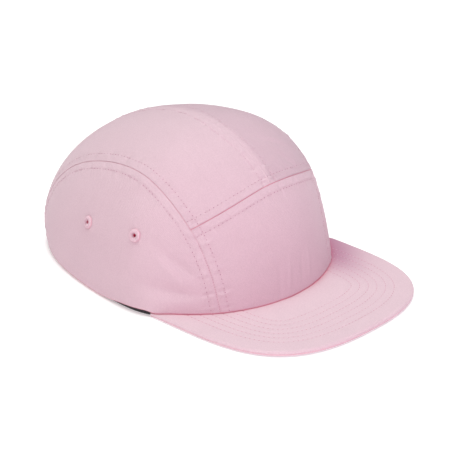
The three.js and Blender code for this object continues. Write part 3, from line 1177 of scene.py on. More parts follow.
def grid_shares(bm: bmesh.types.BMesh, columns: int, rows: int) -> tuple[list[bmesh.types.BMVert], Array]:
    """Adds a grid and gives each vertex's place on it.

    Args:
        bm: The bmesh that the grid is added to.
        columns: Steps along the grid's first axis.
        rows: Steps along its second axis.

    Returns:
        The grid's vertices and their shares from 0 to 1 along both axes.
    """
    vertices = bmesh.ops.create_grid(bm, x_segments=columns, y_segments=rows, size=0.5)["verts"]
    shares = np.array([vertex.co[:2] for vertex in vertices], dtype=float)
    shares = (shares - shares.min(axis=0)) / np.ptp(shares, axis=0)
    return vertices, np.round(shares, 7)


def shade_smooth(bm: bmesh.types.BMesh) -> None:
    """Turns every face outwards and shades it smoothly.

    Args:
        bm: The bmesh.
    """
    bmesh.ops.recalc_face_normals(bm, faces=bm.faces[:])
    for face in bm.faces:
        face.smooth = True


def close_roll(bm: bmesh.types.BMesh) -> None:
    """Joins a rolled up grid along its edges, closes its ends and shades it smoothly.

    Args:
        bm: The bmesh.
    """
    bmesh.ops.remove_doubles(bm, verts=bm.verts[:], dist=1e-6)
    bmesh.ops.holes_fill(bm, edges=[edge for edge in bm.edges if edge.is_boundary], sides=0)
    shade_smooth(bm)


@dataclass(frozen=True)
class SeamRelief:
    """How cloth rises and falls beside a sewn edge."""

    allowance_rise: float = 0.34
    allowance_width: float = 5.5
    stitch_dip: float = 0.24
    dip_width: float = 0.75
    ridge_width: float = 0.65
    rise_width: float = 1.4
    pucker: float = 0.115
    pucker_from: tuple[float, float] = (0.4, 3.0)
    pucker_until: tuple[float, float] = (5.5, 12.0)
    waves: tuple[tuple[float, float, float], ...] = (
        (0.71, 0.6, 1.0), (1.13, 2.1, 0.8), (0.37, 4.0, 0.6),
    )

    def rolled(self, distance: Array, look: EdgeLook) -> Array:
        """Gives how far the cloth turns down into an edge, less its ridge.

        Args:
            distance: Distance from the edge.
            look: How the edge is finished.

        Returns:
            The drop.
        """
        inside = np.clip(look.roll - distance, 0.0, look.roll)
        ridge = look.ridge * np.exp(-((distance / self.ridge_width) ** 2))
        return look.roll - np.sqrt(np.maximum(look.roll**2 - inside**2, 0.0)) - ridge

    def shaded(self, distance: Array, look: EdgeLook) -> Array:
        """Gives how strongly painted shade darkens the cloth's colour beside an edge."""
        return look.shade * np.exp(-((distance / look.shade_width) ** 2))

    def raised(self, distance: Array) -> Array:
        """Gives how far the folded allowance lifts the cloth.

        Args:
            distance: Distance from the edge.

        Returns:
            The lift.
        """
        near = smoothstep(distance, 0.0, self.rise_width)
        far = 1.0 - smoothstep(distance, self.allowance_width - 0.6, self.allowance_width + 1.6)
        return self.allowance_rise * near * far

    def stitched(self, distance: Array) -> Array:
        """Gives how far the row of stitches pulls the cloth down."""
        return self.stitch_dip * np.exp(-(((distance - self.allowance_width) / self.dip_width) ** 2))

    def puckered(self, distance: Array, along: Array) -> Array:
        """Gives the small waves that the thread draws beside the seam.

        Args:
            distance: Distance from the seam.
            along: Length along the seam.

        Returns:
            The lift.
        """
        window = smoothstep(distance, *self.pucker_from) * (1.0 - smoothstep(distance, *self.pucker_until))
        even = sum(height * np.sin(along * rate + start) for rate, start, height in self.waves)
        uneven = 0.7 * np.sin(along * 1.71 + 0.3 + 0.5 * np.sin(along * 0.21))
        return self.pucker * window * (even + uneven)


@dataclass(frozen=True)
class PanelEdge:
    """One edge of a panel as a line on the crown's outside."""

    edging: Edging
    line: Array


@dataclass(frozen=True)
class Patch:
    """A smooth patch of directions between four edges."""

    low: Curve
    high: Curve
    start: Curve
    end: Curve

    def directions(self, shares: Array) -> Array:
        """Fills the patch.

        Args:
            shares: Places on the patch, from 0 to 1 along it and up it.

        Returns:
            Unit vectors, one to a place.
        """
        along, along_back = np.unique(shares[:, 0], return_inverse=True)
        up, up_back = np.unique(shares[:, 1], return_inverse=True)
        u, v = shares[:, :1], shares[:, 1:]
        low, high = self.low(along)[along_back], self.high(along)[along_back]
        start, end = self.start(up)[up_back], self.end(up)[up_back]
        ends = np.array([0.0, 1.0])
        low_corners, high_corners = self.low(ends), self.high(ends)
        total = (low * (1 - v) + high * v + start * (1 - u) + end * u
                 - low_corners[0] * (1 - u) * (1 - v) - low_corners[1] * u * (1 - v)
                 - high_corners[0] * (1 - u) * v - high_corners[1] * u * v)
        return unit(total)


@dataclass
class ClothPanel:
    """One panel of the crown: two layers of cloth with finished edges."""

    name: str
    crown: Crown
    relief: SeamRelief
    edges: list[PanelEdge]
    patches: list[tuple[Patch, int, int]]
    cloth_map: Callable[[Array], Array]
    cloth: float
    tape_rise: float = 0.45
    tape_width: float = 6.5
    tape_edge: float = 0.7
    gather: float = 0.72
    # How much painted shade darkens the cloth on the wearer's left half, where it turns away from the lights.
    painted_shade: float = 0.0
    holes: tuple[tuple[float, float], ...] = ()
    hole_radius: float = 2.35
    rim_drop: float = 0.37
    rim_drop_width: float = 0.9
    rests_until: tuple[float, float] = (-26.0, -20.0)
    rim_lift: float = 1.0
    rim_lift_width: float = 3.0
    lifts_from: tuple[float, float] = (-25.0, -17.0)
    lifts_until: tuple[float, float] = (0.0, 26.0)

    def measure(self, direction: Array) -> tuple[Array, Array, Array, Array]:
        """Measures the cloth in some directions.

        Args:
            direction: Unit vectors.

        Returns:
            The outer points, the inner points, the normals and the painted shade along the edges.
        """
        base = self.crown.outside(direction)
        normal = self.crown.outwards(direction)
        roll, rise, dip = (np.zeros(len(base)) for _ in range(3))
        pucker, crease, tape = (np.zeros(len(base)) for _ in range(3))
        for edge in self.edges:
            distance, along = beside_line(base, edge.line)
            look = EDGE_LOOKS[edge.edging]
            rolled = self.relief.rolled(distance, look)
            roll = np.where(np.abs(rolled) > np.abs(roll), rolled, roll)
            # Painted shade in the seams and along the rim.
            crease = np.maximum(crease, self.relief.shaded(distance, look))
            if edge.edging is Edging.RIM:
                close = np.exp(-((distance / self.rim_drop_width) ** 2))
                close *= 1.0 - smoothstep(base[:, 1], *self.rests_until)
                bare = np.exp(-((distance / self.rim_lift_width) ** 2))
                bare *= smoothstep(base[:, 1], *self.lifts_from)
                bare *= 1.0 - smoothstep(base[:, 1], *self.lifts_until)
                base = base + np.outer(bare * self.rim_lift - close * self.rim_drop, [0.0, 0.0, 1.0])
            else:
                rise = np.maximum(rise, self.relief.raised(distance))
                dip = np.maximum(dip, self.relief.stitched(distance))
                pucker += self.relief.puckered(distance, along)
                cover = 1.0 - smoothstep(distance, self.tape_width - self.tape_edge, self.tape_width)
                tape = np.maximum(tape, self.tape_rise * cover)
        lift = rise + pucker - dip - roll
        depth = self.cloth + tape - pucker
        return base + normal * lift[:, None], base - normal * depth[:, None], normal, crease

    def build(self, maker: MeshMaker, finish: Finish, node: str) -> bpy.types.Object:
        """Makes the panel.

        Args:
            maker: Turns the bmesh into a piece.
            finish: The cloth.
            node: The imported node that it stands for.

        Returns:
            The object.
        """
        bm = bmesh.new()
        spot = bm.verts.layers.int.new("spot")
        found: list[Array] = []
        for patch, columns, rows in self.patches:
            vertices, shares = grid_shares(bm, columns, rows)
            direction = patch.directions(gathered(shares, self.gather))
            first = sum(len(some) for some in found)
            for index, vertex in enumerate(vertices):
                vertex[spot] = first + index
            maker.set_points(vertices, self.crown.outside(direction))
            found.append(direction)
        direction = np.vstack(found)
        bmesh.ops.remove_doubles(bm, verts=bm.verts[:], dist=2e-6)
        for around, up in self.holes:
            self.open_hole(bm, maker, self.crown.outside(towards(around, up)))
        outer, inner, _, crease = self.measure(direction)
        made = bmesh.ops.extrude_face_region(bm, geom=bm.faces[:])["geom"]
        within = [item for item in made if isinstance(item, bmesh.types.BMVert)]
        kept = set(within)
        without = [vertex for vertex in bm.verts if vertex not in kept]
        maker.set_points(without, outer[[vertex[spot] for vertex in without]])
        maker.set_points(within, inner[[vertex[spot] for vertex in within]])
        shade_smooth(bm)
        piece = maker.piece(self.name, bm, [finish], "cloth", (node,))
        spots = spots_of(piece)
        store_map(piece, "cloth", self.cloth_map(direction)[spots])
        store_number(piece, "crease", crease[spots])
        # Painted shade: the cloth on the wearer's left is darkened where it turns away from the lights.
        store_number(piece, "shade", self.painted_shade * smoothstep(direction[spots, 0], 0.0, 0.06))
        return piece

    def open_hole(self, bm: bmesh.types.BMesh, maker: MeshMaker, centre: Array) -> None:
        """Opens the cloth under an eyelet.

        Args:
            bm: The panel's single layer.
            maker: Knows where the cap stands.
            centre: The middle of the hole.
        """
        place = Vector(maker.placement.metres(centre).tolist())
        reach = self.hole_radius * METRES
        faces = [face for face in bm.faces if (face.calc_center_median() - place).length < reach]
        bmesh.ops.delete(bm, geom=faces, context="FACES")


@dataclass
class StitchRows:
    """Rows of stitches with the needle's holes between them, gathered in one piece."""

    placement: Placement
    pitch: float = 3.0
    thickness: float = 0.36
    hole: float = 0.78
    stretch: float = 1.0
    bm: bmesh.types.BMesh = field(default_factory=bmesh.new)

    @cached_property
    def strand(self) -> bmesh.types.BMesh:
        """One stitch, as a ball of radius 1 with its poles at its two ends.

        Returns:
            The ball.
        """
        ball = bmesh.new()
        bmesh.ops.create_uvsphere(ball, u_segments=6, v_segments=5, radius=1.0,
                                  matrix=Matrix.Rotation(0.5 * math.pi, 4, "Y"))
        return ball

    @cached_property
    def pit(self) -> bmesh.types.BMesh:
        """One needle hole, as a ball of radius 1 in the second finish, whose dark colour is painted shade.

        Returns:
            The ball.
        """
        ball = bmesh.new()
        bmesh.ops.create_uvsphere(ball, u_segments=8, v_segments=4, radius=1.0)
        for face in ball.faces:
            face.material_index = 1
        return ball

    def copy(self, shape: bmesh.types.BMesh, matrix: Matrix) -> None:
        """Adds a copy of a shape to the piece.

        Args:
            shape: The stitch or the hole.
            matrix: Its place, turn and size.
        """
        mesh = bpy.data.meshes.new("copy")
        shape.to_mesh(mesh)
        mesh.transform(matrix)
        self.bm.from_mesh(mesh)
        bpy.data.meshes.remove(mesh)

    def laid(self, point: Array, along: Array, normal: Array, size: tuple[float, float, float]) -> Matrix:
        """Gives the place, turn and size of a small round thing that lies on the cloth.

        Args:
            point: Its middle, in millimetres.
            along: The way that the row runs.
            normal: The way that the cloth faces.
            size: Half its length, width and height, in millimetres.

        Returns:
            A matrix from a unit ball to metres.
        """
        side = unit(np.cross(normal, along))
        axes = (np.cross(side, normal), side, normal)
        matrix = Matrix.Identity(4)
        place = self.placement.metres(point)
        for row in range(3):
            for column in range(3):
                matrix[row][column] = float(axes[column][row]) * size[column] * METRES
            matrix[row][3] = float(place[row])
        return matrix

    def sew(self, points: Array, normals: Array, with_thread: bool = True) -> int:
        """Sews a row through the needle's holes.

        Args:
            points: The holes, in millimetres.
            normals: The way that the cloth faces at each.
            with_thread: False leaves only the holes.

        Returns:
            The number of holes.
        """
        steps = np.diff(points, axis=0)
        ahead = unit(np.vstack([steps, steps[-1:]]))
        if with_thread:
            middles, facing = 0.5 * (points[:-1] + points[1:]), unit(normals[:-1] + normals[1:])
            for point, step, normal in zip(middles, steps, facing):
                half = 0.5 * float(np.linalg.norm(step)) - 0.42 * self.hole * self.stretch
                size = (half, 0.5 * self.thickness, 0.42 * self.thickness)
                self.copy(self.strand, self.laid(point, step, normal, size))
        for point, way, normal in zip(points, ahead, normals):
            size = (0.5 * self.hole * self.stretch, 0.42 * self.hole, 0.07)
            self.copy(self.pit, self.laid(point, way, normal, size))
        return len(points)

    def finish(self, maker: MeshMaker, name: str, finishes: Iterable[Finish]) -> bpy.types.Object:
        """Makes the piece.

        Args:
            maker: Turns the bmesh into a piece.
            name: The piece's name.
            finishes: The thread and the shade in the needle's holes.

        Returns:
            The object.
        """
        for face in self.bm.faces:
            face.smooth = True
        return maker.piece(name, self.bm, finishes, "thread")


@dataclass
class CrownPanels:
    """The five panels of the crown and their rows of stitches."""

    pattern: CapPattern
    relief: SeamRelief = SeamRelief()
    line_samples: int = 260
    stitch_pitch: float = 3.0
    seam_pitch: float = 1.6
    seam_hole: float = 0.62
    seam_depth: float = 0.04
    seam_part: tuple[float, float] = (0.015, 0.3)
    seam_samples: int = 200
    row_stop: float = 0.9
    front_grid: tuple[int, int] = (184, 120)
    top_grid: tuple[int, int, int] = (96, 180, 64)
    side_grid: tuple[int, int] = (300, 100)
    arch_share: float = 0.6667
    # Painted shade on the wearer's left top panel.
    far_painted_shade: float = 0.25
    ridge_hole: float = 0.42

    def edge(self, edging: Edging, curve: Curve, start: float = 0.0, end: float = 1.0) -> PanelEdge:
        """Draws an edge on the crown's outside.

        Args:
            edging: How it is finished.
            curve: Its directions.
            start: The share that it starts at.
            end: The share that it ends at.

        Returns:
            The edge.
        """
        shares = np.linspace(start, end, self.line_samples)
        return PanelEdge(edging, self.pattern.crown.outside(curve(shares)))

    def rim_between(self, start: float, end: float) -> Curve:
        """Gives the rim between two places round the head."""
        return lambda share: self.pattern.rim(between(start, end, share))

    def front(self) -> ClothPanel:
        """Plans the panel over the forehead.

        Returns:
            The panel.
        """
        pattern = self.pattern
        foot, junction = pattern.foot_front, pattern.junction
        right, left = pattern.side_seam(Side.RIGHT), pattern.side_seam(Side.LEFT)
        seam = pattern.front_seam()
        patch = Patch(
            low=self.rim_between(-foot, foot),
            high=lambda share: seam(2.0 * share - 1.0),
            start=lambda share: right(share * junction),
            end=lambda share: left(share * junction),
        )
        edges = [
            self.edge(Edging.RIM, patch.low),
            self.edge(Edging.LAP, patch.high),
            self.edge(Edging.FLAT, right, 0.0, junction),
            self.edge(Edging.FLAT, left, 0.0, junction),
        ]

        def cloth_map(direction: Array) -> Array:
            """Lays the panel's cloth flat, in millimetres."""
            around = np.arctan2(direction[:, 0], -direction[:, 1])
            return np.stack([around * 76.0, pattern.crown.outside(direction)[:, 2]], axis=1)

        return ClothPanel("front_panel_cloth", pattern.crown, self.relief, edges,
                          [(patch, *self.front_grid)], cloth_map, pattern.cloth)

    def top(self, side: Side) -> ClothPanel:
        """Plans one of the two panels over the top, down to the arch.

        Args:
            side: Its side.

        Returns:
            The panel.
        """
        pattern = self.pattern
        sign, junction = side.value, pattern.junction
        seam, centre, arch = pattern.side_seam(side), pattern.centre_seam(), pattern.arch(side)
        front = pattern.front_seam()
        arch_top = self.arch_top_share()
        foot = pattern.around_at(0, 0.5 * pattern.arch_width)
        near, far = seam(np.array([self.arch_share]))[0], arch(np.array([0.0]))[0]

        def slant(share: Array) -> Array:
            """Gives the line from the side seam to the top of the arch."""
            share = np.atleast_1d(share)[:, None]
            return unit(near * (1.0 - share) + far * share)

        upper = Patch(
            low=lambda share: front(sign * (1.0 - share)),
            high=slant,
            start=lambda share: seam(between(junction, self.arch_share, share)),
            end=lambda share: centre(arch_top * share),
        )
        lower = Patch(
            low=slant,
            high=self.rim_between(sign * pattern.foot_back, sign * foot),
            start=lambda share: seam(between(self.arch_share, 1.0, share)),
            end=arch,
        )
        edges = [
            self.edge(Edging.SEAM, upper.low),
            self.edge(Edging.LAP, seam, junction, 1.0),
            self.edge(Edging.RIDGE, centre, 0.0, arch_top),
            self.edge(Edging.HEM, arch),
            self.edge(Edging.RIM, lower.high),
        ]

        def cloth_map(direction: Array) -> Array:
            """Lays the panel's cloth flat, in millimetres."""
            over = np.arctan2(direction[:, 2], -direction[:, 1])
            return np.stack([np.arcsin(np.clip(direction[:, 0], -1, 1)) * 96.0, over * 106.0], axis=1)

        columns, upper_rows, lower_rows = self.top_grid
        patches = [(upper, columns, upper_rows), (lower, columns, lower_rows)]
        return ClothPanel(f"{side.word}_top_panel_cloth", pattern.crown, self.relief, edges, patches,
                          cloth_map, pattern.cloth, painted_shade=self.far_painted_shade)

    def arch_top_share(self) -> float:
        """Finds the share of the centre seam at which the arch cuts it.

        Returns:
            The share.
        """
        pattern = self.pattern
        centre = pattern.centre_seam()
        level = float(pattern.rim_height(np.array(pattern.crown.back))) + pattern.arch_height
        low, high = 0.5, 1.0
        for _ in range(30):
            middle = 0.5 * (low + high)
            above = pattern.crown.outside(centre(np.array([middle])))[0][2] > level
            low, high = (middle, high) if above else (low, middle)
        return 0.5 * (low + high)

    def side(self, side: Side) -> ClothPanel:
        """Plans the panel at one ear.

        Args:
            side: Its side.

        Returns:
            The panel.
        """
        pattern = self.pattern
        sign = side.value
        seam = pattern.side_seam(side)
        rim = self.rim_between(sign * pattern.foot_front, sign * pattern.foot_back)
        patch = Patch(
            low=rim,
            high=seam,
            start=lambda share: seam(np.zeros_like(share)),
            end=lambda share: seam(np.ones_like(share)),
        )

        def cloth_map(direction: Array) -> Array:
            """Lays the panel's cloth flat, in millimetres.

            Args:
                direction: Unit vectors.

            Returns:
                Two numbers for each of them.
            """
            around = np.arctan2(direction[:, 1], sign * direction[:, 0])
            height = pattern.crown.outside(direction)[:, 2]
            return np.stack([around * 100.0, height + 8.0 * around**2], axis=1)

        holes = tuple((sign * around, up) for _, around, up in pattern.eyelets)
        edges = [
            self.edge(Edging.RIM, rim),
            self.edge(Edging.FLAT, seam, 0.0, pattern.junction),
            self.edge(Edging.FINE, seam, pattern.junction, 1.0),
        ]
        return ClothPanel(f"{side.word}_side_panel_cloth", pattern.crown, self.relief, edges,
                          [(patch, *self.side_grid)], cloth_map, pattern.cloth, holes=holes)

    def row_beside(self, panel: ClothPanel, edge: PanelEdge, heart: Array) -> tuple[Array, Array]:
        """Lays a row of stitch holes beside one edge of a panel.

        Args:
            panel: The panel that the row is sewn on.
            edge: The edge that it follows.
            heart: A point of the crown inside the panel.

        Returns:
            The holes' points and normals.
        """
        crown, offset = self.pattern.crown, self.relief.allowance_width
        line = edge.line
        normal = crown.outwards(crown.direction_of(line))
        across = unit(np.cross(normal, np.gradient(line, axis=0)))
        middle = len(line) // 2
        if float(across[middle] @ (heart - line[middle])) < 0.0:
            across = -across
        beside = line + across * offset
        direction = crown.direction_of(beside)
        base = crown.outside(direction)
        keep = np.ones(len(base), dtype=bool)
        for other in panel.edges:
            distance, _ = beside_line(base, other.line)
            limit = offset - 0.25 if other is edge else self.row_stop
            keep &= distance > limit
        direction = crown.direction_of(spaced(base[keep], self.stitch_pitch))
        points, _, normals, _ = panel.measure(direction)
        return points, normals

    def sew(self, maker: MeshMaker, panels: dict[str, ClothPanel]) -> bpy.types.Object:
        """Sews the rows beside every seam and round the arch.

        Args:
            maker: Turns the bmesh into a piece.
            panels: The panels by name.

        Returns:
            The stitches.
        """
        rows = StitchRows(maker.placement, self.stitch_pitch)
        count = 0
        for panel in panels.values():
            heart = self.pattern.crown.outside(panel.patches[0][0].directions(np.array([[0.5, 0.5]])))[0]
            for edge in panel.edges:
                if edge.edging is not Edging.RIM:
                    rows.hole = self.ridge_hole if edge.edging is Edging.RIDGE else StitchRows.hole
                    points, normals = self.row_beside(panel, edge, heart)
                    count += rows.sew(points, normals)
        # Along the side seams only the needle holes show, as dark balls of painted shade.
        rows.hole = self.seam_hole
        for side in Side:
            seam = self.pattern.side_seam(side)(np.linspace(*self.seam_part, self.seam_samples))
            line = spaced(self.pattern.crown.outside(seam), self.seam_pitch)
            normal = self.pattern.crown.outwards(self.pattern.crown.direction_of(line))
            count += rows.sew(line - normal * self.seam_depth, normal, with_thread=False)
        LOG.info("crown: %d needle holes", count)
        return rows.finish(maker, "crown_topstitching", [maker.finishes.thread, maker.finishes.hole])

    def build(self, maker: MeshMaker) -> None:
        """Makes the five panels and their stitches.

        Args:
            maker: Turns each bmesh into a piece.
        """
        panels = {"front": self.front()}
        for side in Side:
            panels[f"{side.word}_top"] = self.top(side)
            panels[f"{side.word}_side"] = self.side(side)
        for name, panel in panels.items():
            panel.build(maker, maker.finishes.crown_twill, f"{name}_panel")
        self.sew(maker, panels)


@dataclass
class Peak:
    """The flat stitched peak."""

    pattern: CapPattern
    along_steps: int = 340
    across_steps: int = 64
    edge_steps: int = 12
    first_row: float = 12.5
    row_pitch: float = 5.5
    rows: int = 6
    row_dip: float = 0.16
    row_width: float = 0.8
    puff: float = 0.12
    puff_width: float = 2.0
    # Painted shade round the rolled edge and along the joint with the crown, and the crown's painted shadow
    # on the wearer's left.
    edge_seam: float = 0.42
    edge_shade: float = 0.3
    joint_width: float = 0.5
    joint_shade: float = 0.6
    far_joint_shade: float = 0.15
    far_shade: float = 0.75
    far_shade_width: float = 20.0
    far_reach: tuple[float, float] = (30.0, 64.0)

    def edge_curve(self) -> Array:
        """Draws the outer edge in plan, from the right end round the tip to the left end.

        Returns:
            Points of the edge.
        """
        pattern = self.pattern
        end = pattern.around_at(1, -pattern.peak_end)
        half = pattern.crown.outside(pattern.rim(np.array([end])))[0][0]
        angle = np.pi * np.linspace(0.0, 1.0, 6001)
        side = -np.cos(angle)
        x = half * np.sign(side) * np.abs(side) ** (2.0 / pattern.peak_side_roundness)
        length = pattern.crown.front + pattern.peak_reach - pattern.peak_end
        ahead = np.clip(np.sin(angle), 0.0, 1.0) ** (2.0 / pattern.peak_tip_roundness)
        y = -pattern.peak_end - length * ahead
        return np.stack([x, y, np.zeros(len(x))], axis=1)

    def rim_above(self) -> Array:
        """Gives points of the crown's rim where it passes over the peak."""
        return self.pattern.crown.outside(self.pattern.rim(np.linspace(-100.0, 100.0, 400)))

    def root_curve(self, share: Array) -> Array:
        """Draws the peak's inner edge under the crown.

        Args:
            share: Shares from the right end to the left end.

        Returns:
            Points at floor level.
        """
        pattern = self.pattern
        end = pattern.around_at(1, -pattern.peak_end)
        root = pattern.crown.inside_level(pattern.rim(between(-end, end, share)),
                                          pattern.cloth - pattern.layer_gap)
        root[:, 2] = 0.0
        return root

    def quilting(self, distance: Array) -> Array:
        """Gives how far the rows of stitches draw the cloth down.

        Args:
            distance: Distance from the outer edge.

        Returns:
            The lift, 0 or less.
        """
        dip = np.zeros(len(distance))
        for row in range(self.rows):
            place = self.first_row + row * self.row_pitch
            dip = np.maximum(dip, np.exp(-(((distance - place) / self.row_width) ** 2)))
        last = self.first_row + (self.rows - 1) * self.row_pitch
        begun = smoothstep(distance, self.first_row - self.puff_width, self.first_row)
        left = 1.0 - smoothstep(distance, last, last + self.puff_width)
        return -self.row_dip * dip - self.puff * (begun * left) * 0.5

    def build(self, maker: MeshMaker) -> None:
        """Makes the peak and its stitches.

        Args:
            maker: Turns each bmesh into a piece.
        """
        pattern = self.pattern
        bm = bmesh.new()
        spot = bm.verts.layers.int.new("spot")
        turned = 2 * (self.across_steps + self.edge_steps)
        sections = turned + 1
        vertices, shares = grid_shares(bm, self.along_steps, sections)
        for index, vertex in enumerate(vertices):
            vertex[spot] = index
        along, back = np.unique(shares[:, 0], return_inverse=True)
        edge = self.edge_curve()
        reach = lengths_along(edge)
        tip = np.stack([np.interp(along * reach[-1], reach, edge[:, k]) for k in range(3)], axis=1)
        root = self.root_curve(along)
        width = np.linalg.norm(tip - root, axis=1)
        out = (tip - root) / width[:, None]
        rounding = np.minimum(0.5 * pattern.peak_thickness, 0.45 * width)
        step = np.round(shares[:, 1] * sections).astype(int) % sections
        top, bottom = step <= self.across_steps, step >= self.across_steps + 2 * self.edge_steps
        flat = np.where(top, step, turned - step) / self.across_steps
        angle = np.pi * (0.5 - (step - self.across_steps) / (2.0 * self.edge_steps))
        sheet = top | bottom
        distance = np.where(sheet, np.clip(flat, 0, 1) * (width - rounding)[back],
                            (width - rounding)[back] + rounding[back] * np.cos(angle))
        level = np.where(sheet, np.where(top, 1.0, 0.0), 0.5 + 0.5 * np.sin(angle))
        points = root[back] + out[back] * distance[:, None]
        inward, _ = beside_line(points, edge[::12])
        lift = self.quilting(inward) * np.where(sheet, 1.0, 0.0)
        points[:, 2] = level * pattern.peak_thickness_at(points[:, 1]) + np.where(bottom & ~top, -lift, lift)
        maker.set_points(vertices, points)
        close_roll(bm)
        piece = maker.piece("peak_cloth", bm, [maker.finishes.peak_twill], "cloth", ("peak",))
        spots = spots_of(piece)
        store_map(piece, "cloth", points[spots][:, :2])
        # Painted shade in the seam round the peak's rolled edge.
        seam = np.exp(-(((level - self.edge_seam) * pattern.peak_thickness / 0.3) ** 2))
        seam = seam * (~sheet) * self.edge_shade
        # Painted shade along the joint with the crown: a thin line, a faint wider band, and more towards the
        # wearer's left.
        beside, _ = beside_line(points * [1.0, 1.0, 0.0], self.rim_above() * [1.0, 1.0, 0.0])
        far = smoothstep(points[:, 0], *self.far_reach)
        line = np.exp(-((beside / self.joint_width) ** 2))
        joint = between(self.joint_shade, self.far_joint_shade, far) * line
        joint += 0.05 * np.exp(-((beside / 7.0) ** 2))
        joint += 0.2 * smoothstep(points[:, 0], 0.0, 30.0) * np.exp(-((beside / 2.5) ** 2))
        store_number(piece, "crease", (seam + joint * top)[spots])
        # The crown's painted shadow on the peak, towards the wearer's left.
        shade = self.far_shade * far * np.exp(-((beside / self.far_shade_width) ** 2))
        store_number(piece, "shade", (shade * top)[spots])
        self.sew(maker, edge)

    def sew(self, maker: MeshMaker, edge: Array) -> bpy.types.Object:
        """Sews the rows that follow the peak's edge, on its top and its underside.

        Args:
            maker: Turns the bmesh into a piece.
            edge: The outer edge in plan.

        Returns:
            The stitches.
        """
        pattern = self.pattern
        rows = StitchRows(maker.placement, thickness=0.32, hole=0.6, stretch=2.5)
        line = spaced(edge, 0.5)
        across = unit(np.cross([0.0, 0.0, 1.0], np.gradient(line, axis=0)))
        rim = self.rim_above()
        rim_turn = np.arctan2(rim[:, 0], -rim[:, 1])
        rim_reach = np.hypot(rim[:, 0], rim[:, 1])
        count = 0
        for row in range(self.rows):
            inset = self.first_row + row * self.row_pitch
            beside = line + across * inset
            distance, _ = beside_line(beside, line)
            reach = np.hypot(beside[:, 0], beside[:, 1])
            outside = reach > np.interp(np.arctan2(beside[:, 0], -beside[:, 1]), rim_turn, rim_reach) + 0.6
            kept = beside[(distance > inset - 0.2) & outside]
            holes = spaced(kept, rows.pitch)
            depth = self.row_dip + 0.5 * self.puff
            for side in (1.0, -1.0):
                top = pattern.peak_thickness_at(holes[:, 1]) - depth
                level = top if side > 0 else np.full(len(holes), depth)
                placed = np.column_stack([holes[:, :2], level])
                normals = np.tile([0.0, 0.0, side], (len(holes), 1))
                count += rows.sew(placed, normals)
        LOG.info("peak: %d needle holes", count)
        return rows.finish(maker, "peak_stitching", [maker.finishes.peak_thread, maker.finishes.peak_hole])


def rounded_ring(share: Array, width: float, thickness: float, corner: float) -> tuple[Array, Array]:
    """Goes once round the section of a band with rounded edges.

    Args:
        share: Shares from 0 to 1 round the section.
        width: The band's width.
        thickness: The band's thickness.
        corner: The radius of its corners.

    Returns:
        The place across the width and the place through the thickness, from 0 to 1.
    """
    outline = []
    for cx, cy, first in ((width - corner, corner, -90), (width - corner, thickness - corner, 0),
                          (corner, thickness - corner, 90), (corner, corner, 180)):
        for turn in np.radians(np.linspace(first, first + 90, 5)):
            outline.append((cx + corner * math.cos(turn), cy + corner * math.sin(turn)))
    middle = 0.5 * width
    line = np.array([(middle, 0.0), *outline, (middle, 0.0)])
    reach = lengths_along(line)
    marks = share * reach[-1]
    return np.interp(marks, reach, line[:, 0]) / width, np.interp(marks, reach, line[:, 1]) / thickness


@dataclass
class Band:
    """A band of woven cloth that follows the inside of the crown."""

    name: str
    node: str
    slot: str
    pattern: CapPattern
    start: float
    end: float
    lowest: Callable[[Array], Array]
    width: float
    thickness: float
    levels: int
    grid: tuple[int, int]
    rib_depth: float = 0.05
    rib_pitch: float = 0.9

    def section_lines(self, around: Array) -> Array:
        """Finds the band's wall at a few heights.

        Args:
            around: Degrees from the front.

        Returns:
            Unit vectors, by height and then by place round the head.
        """
        lines = []
        for row in range(self.levels + 1):
            above = self.width * row / self.levels
            lines.append(self.pattern.crown.level_line(
                around, lambda point, more=above: self.lowest(point[..., 1]) + more))
        return np.stack(lines)

    def build(self, maker: MeshMaker, finish: Finish) -> Array:
        """Makes the band.

        Args:
            maker: Turns the bmesh into a piece.
            finish: The band's weave.

        Returns:
            Its inner points by height and place, for stitches.
        """
        pattern, crown = self.pattern, self.pattern.crown
        bm = bmesh.new()
        spot = bm.verts.layers.int.new("spot")
        vertices, shares = grid_shares(bm, *self.grid)
        for index, vertex in enumerate(vertices):
            vertex[spot] = index
        along, back = np.unique(shares[:, 0], return_inverse=True)
        around = between(self.start, self.end, along)
        lines = self.section_lines(around)
        near = pattern.cloth + pattern.layer_gap
        outer = np.stack([crown.inside_level(line, near) for line in lines])
        inner = np.stack([crown.inside_level(line, near + self.thickness) for line in lines])
        across, through = rounded_ring(shares[:, 1], self.width, self.thickness, 0.45 * self.thickness)
        place = np.clip(across, 0, 1) * self.levels
        row = np.minimum(place.astype(int), self.levels - 1)
        part = (place - row)[:, None]
        near_wall = outer[row, back] * (1 - part) + outer[row + 1, back] * part
        far_wall = inner[row, back] * (1 - part) + inner[row + 1, back] * part
        rib = self.rib_depth / self.thickness * np.cos(2 * np.pi * across * self.width / self.rib_pitch) ** 2
        depth = (through + (0.5 - through) * rib)[:, None]
        points = near_wall * (1 - depth) + far_wall * depth
        maker.set_points(vertices, points)
        close_roll(bm)
        piece = maker.piece(self.name, bm, [finish], self.slot, (self.node,))
        length = lengths_along(outer[0])
        spots = spots_of(piece)
        store_map(piece, "cloth", np.stack([length[back], across * self.width], axis=1)[spots])
        return inner


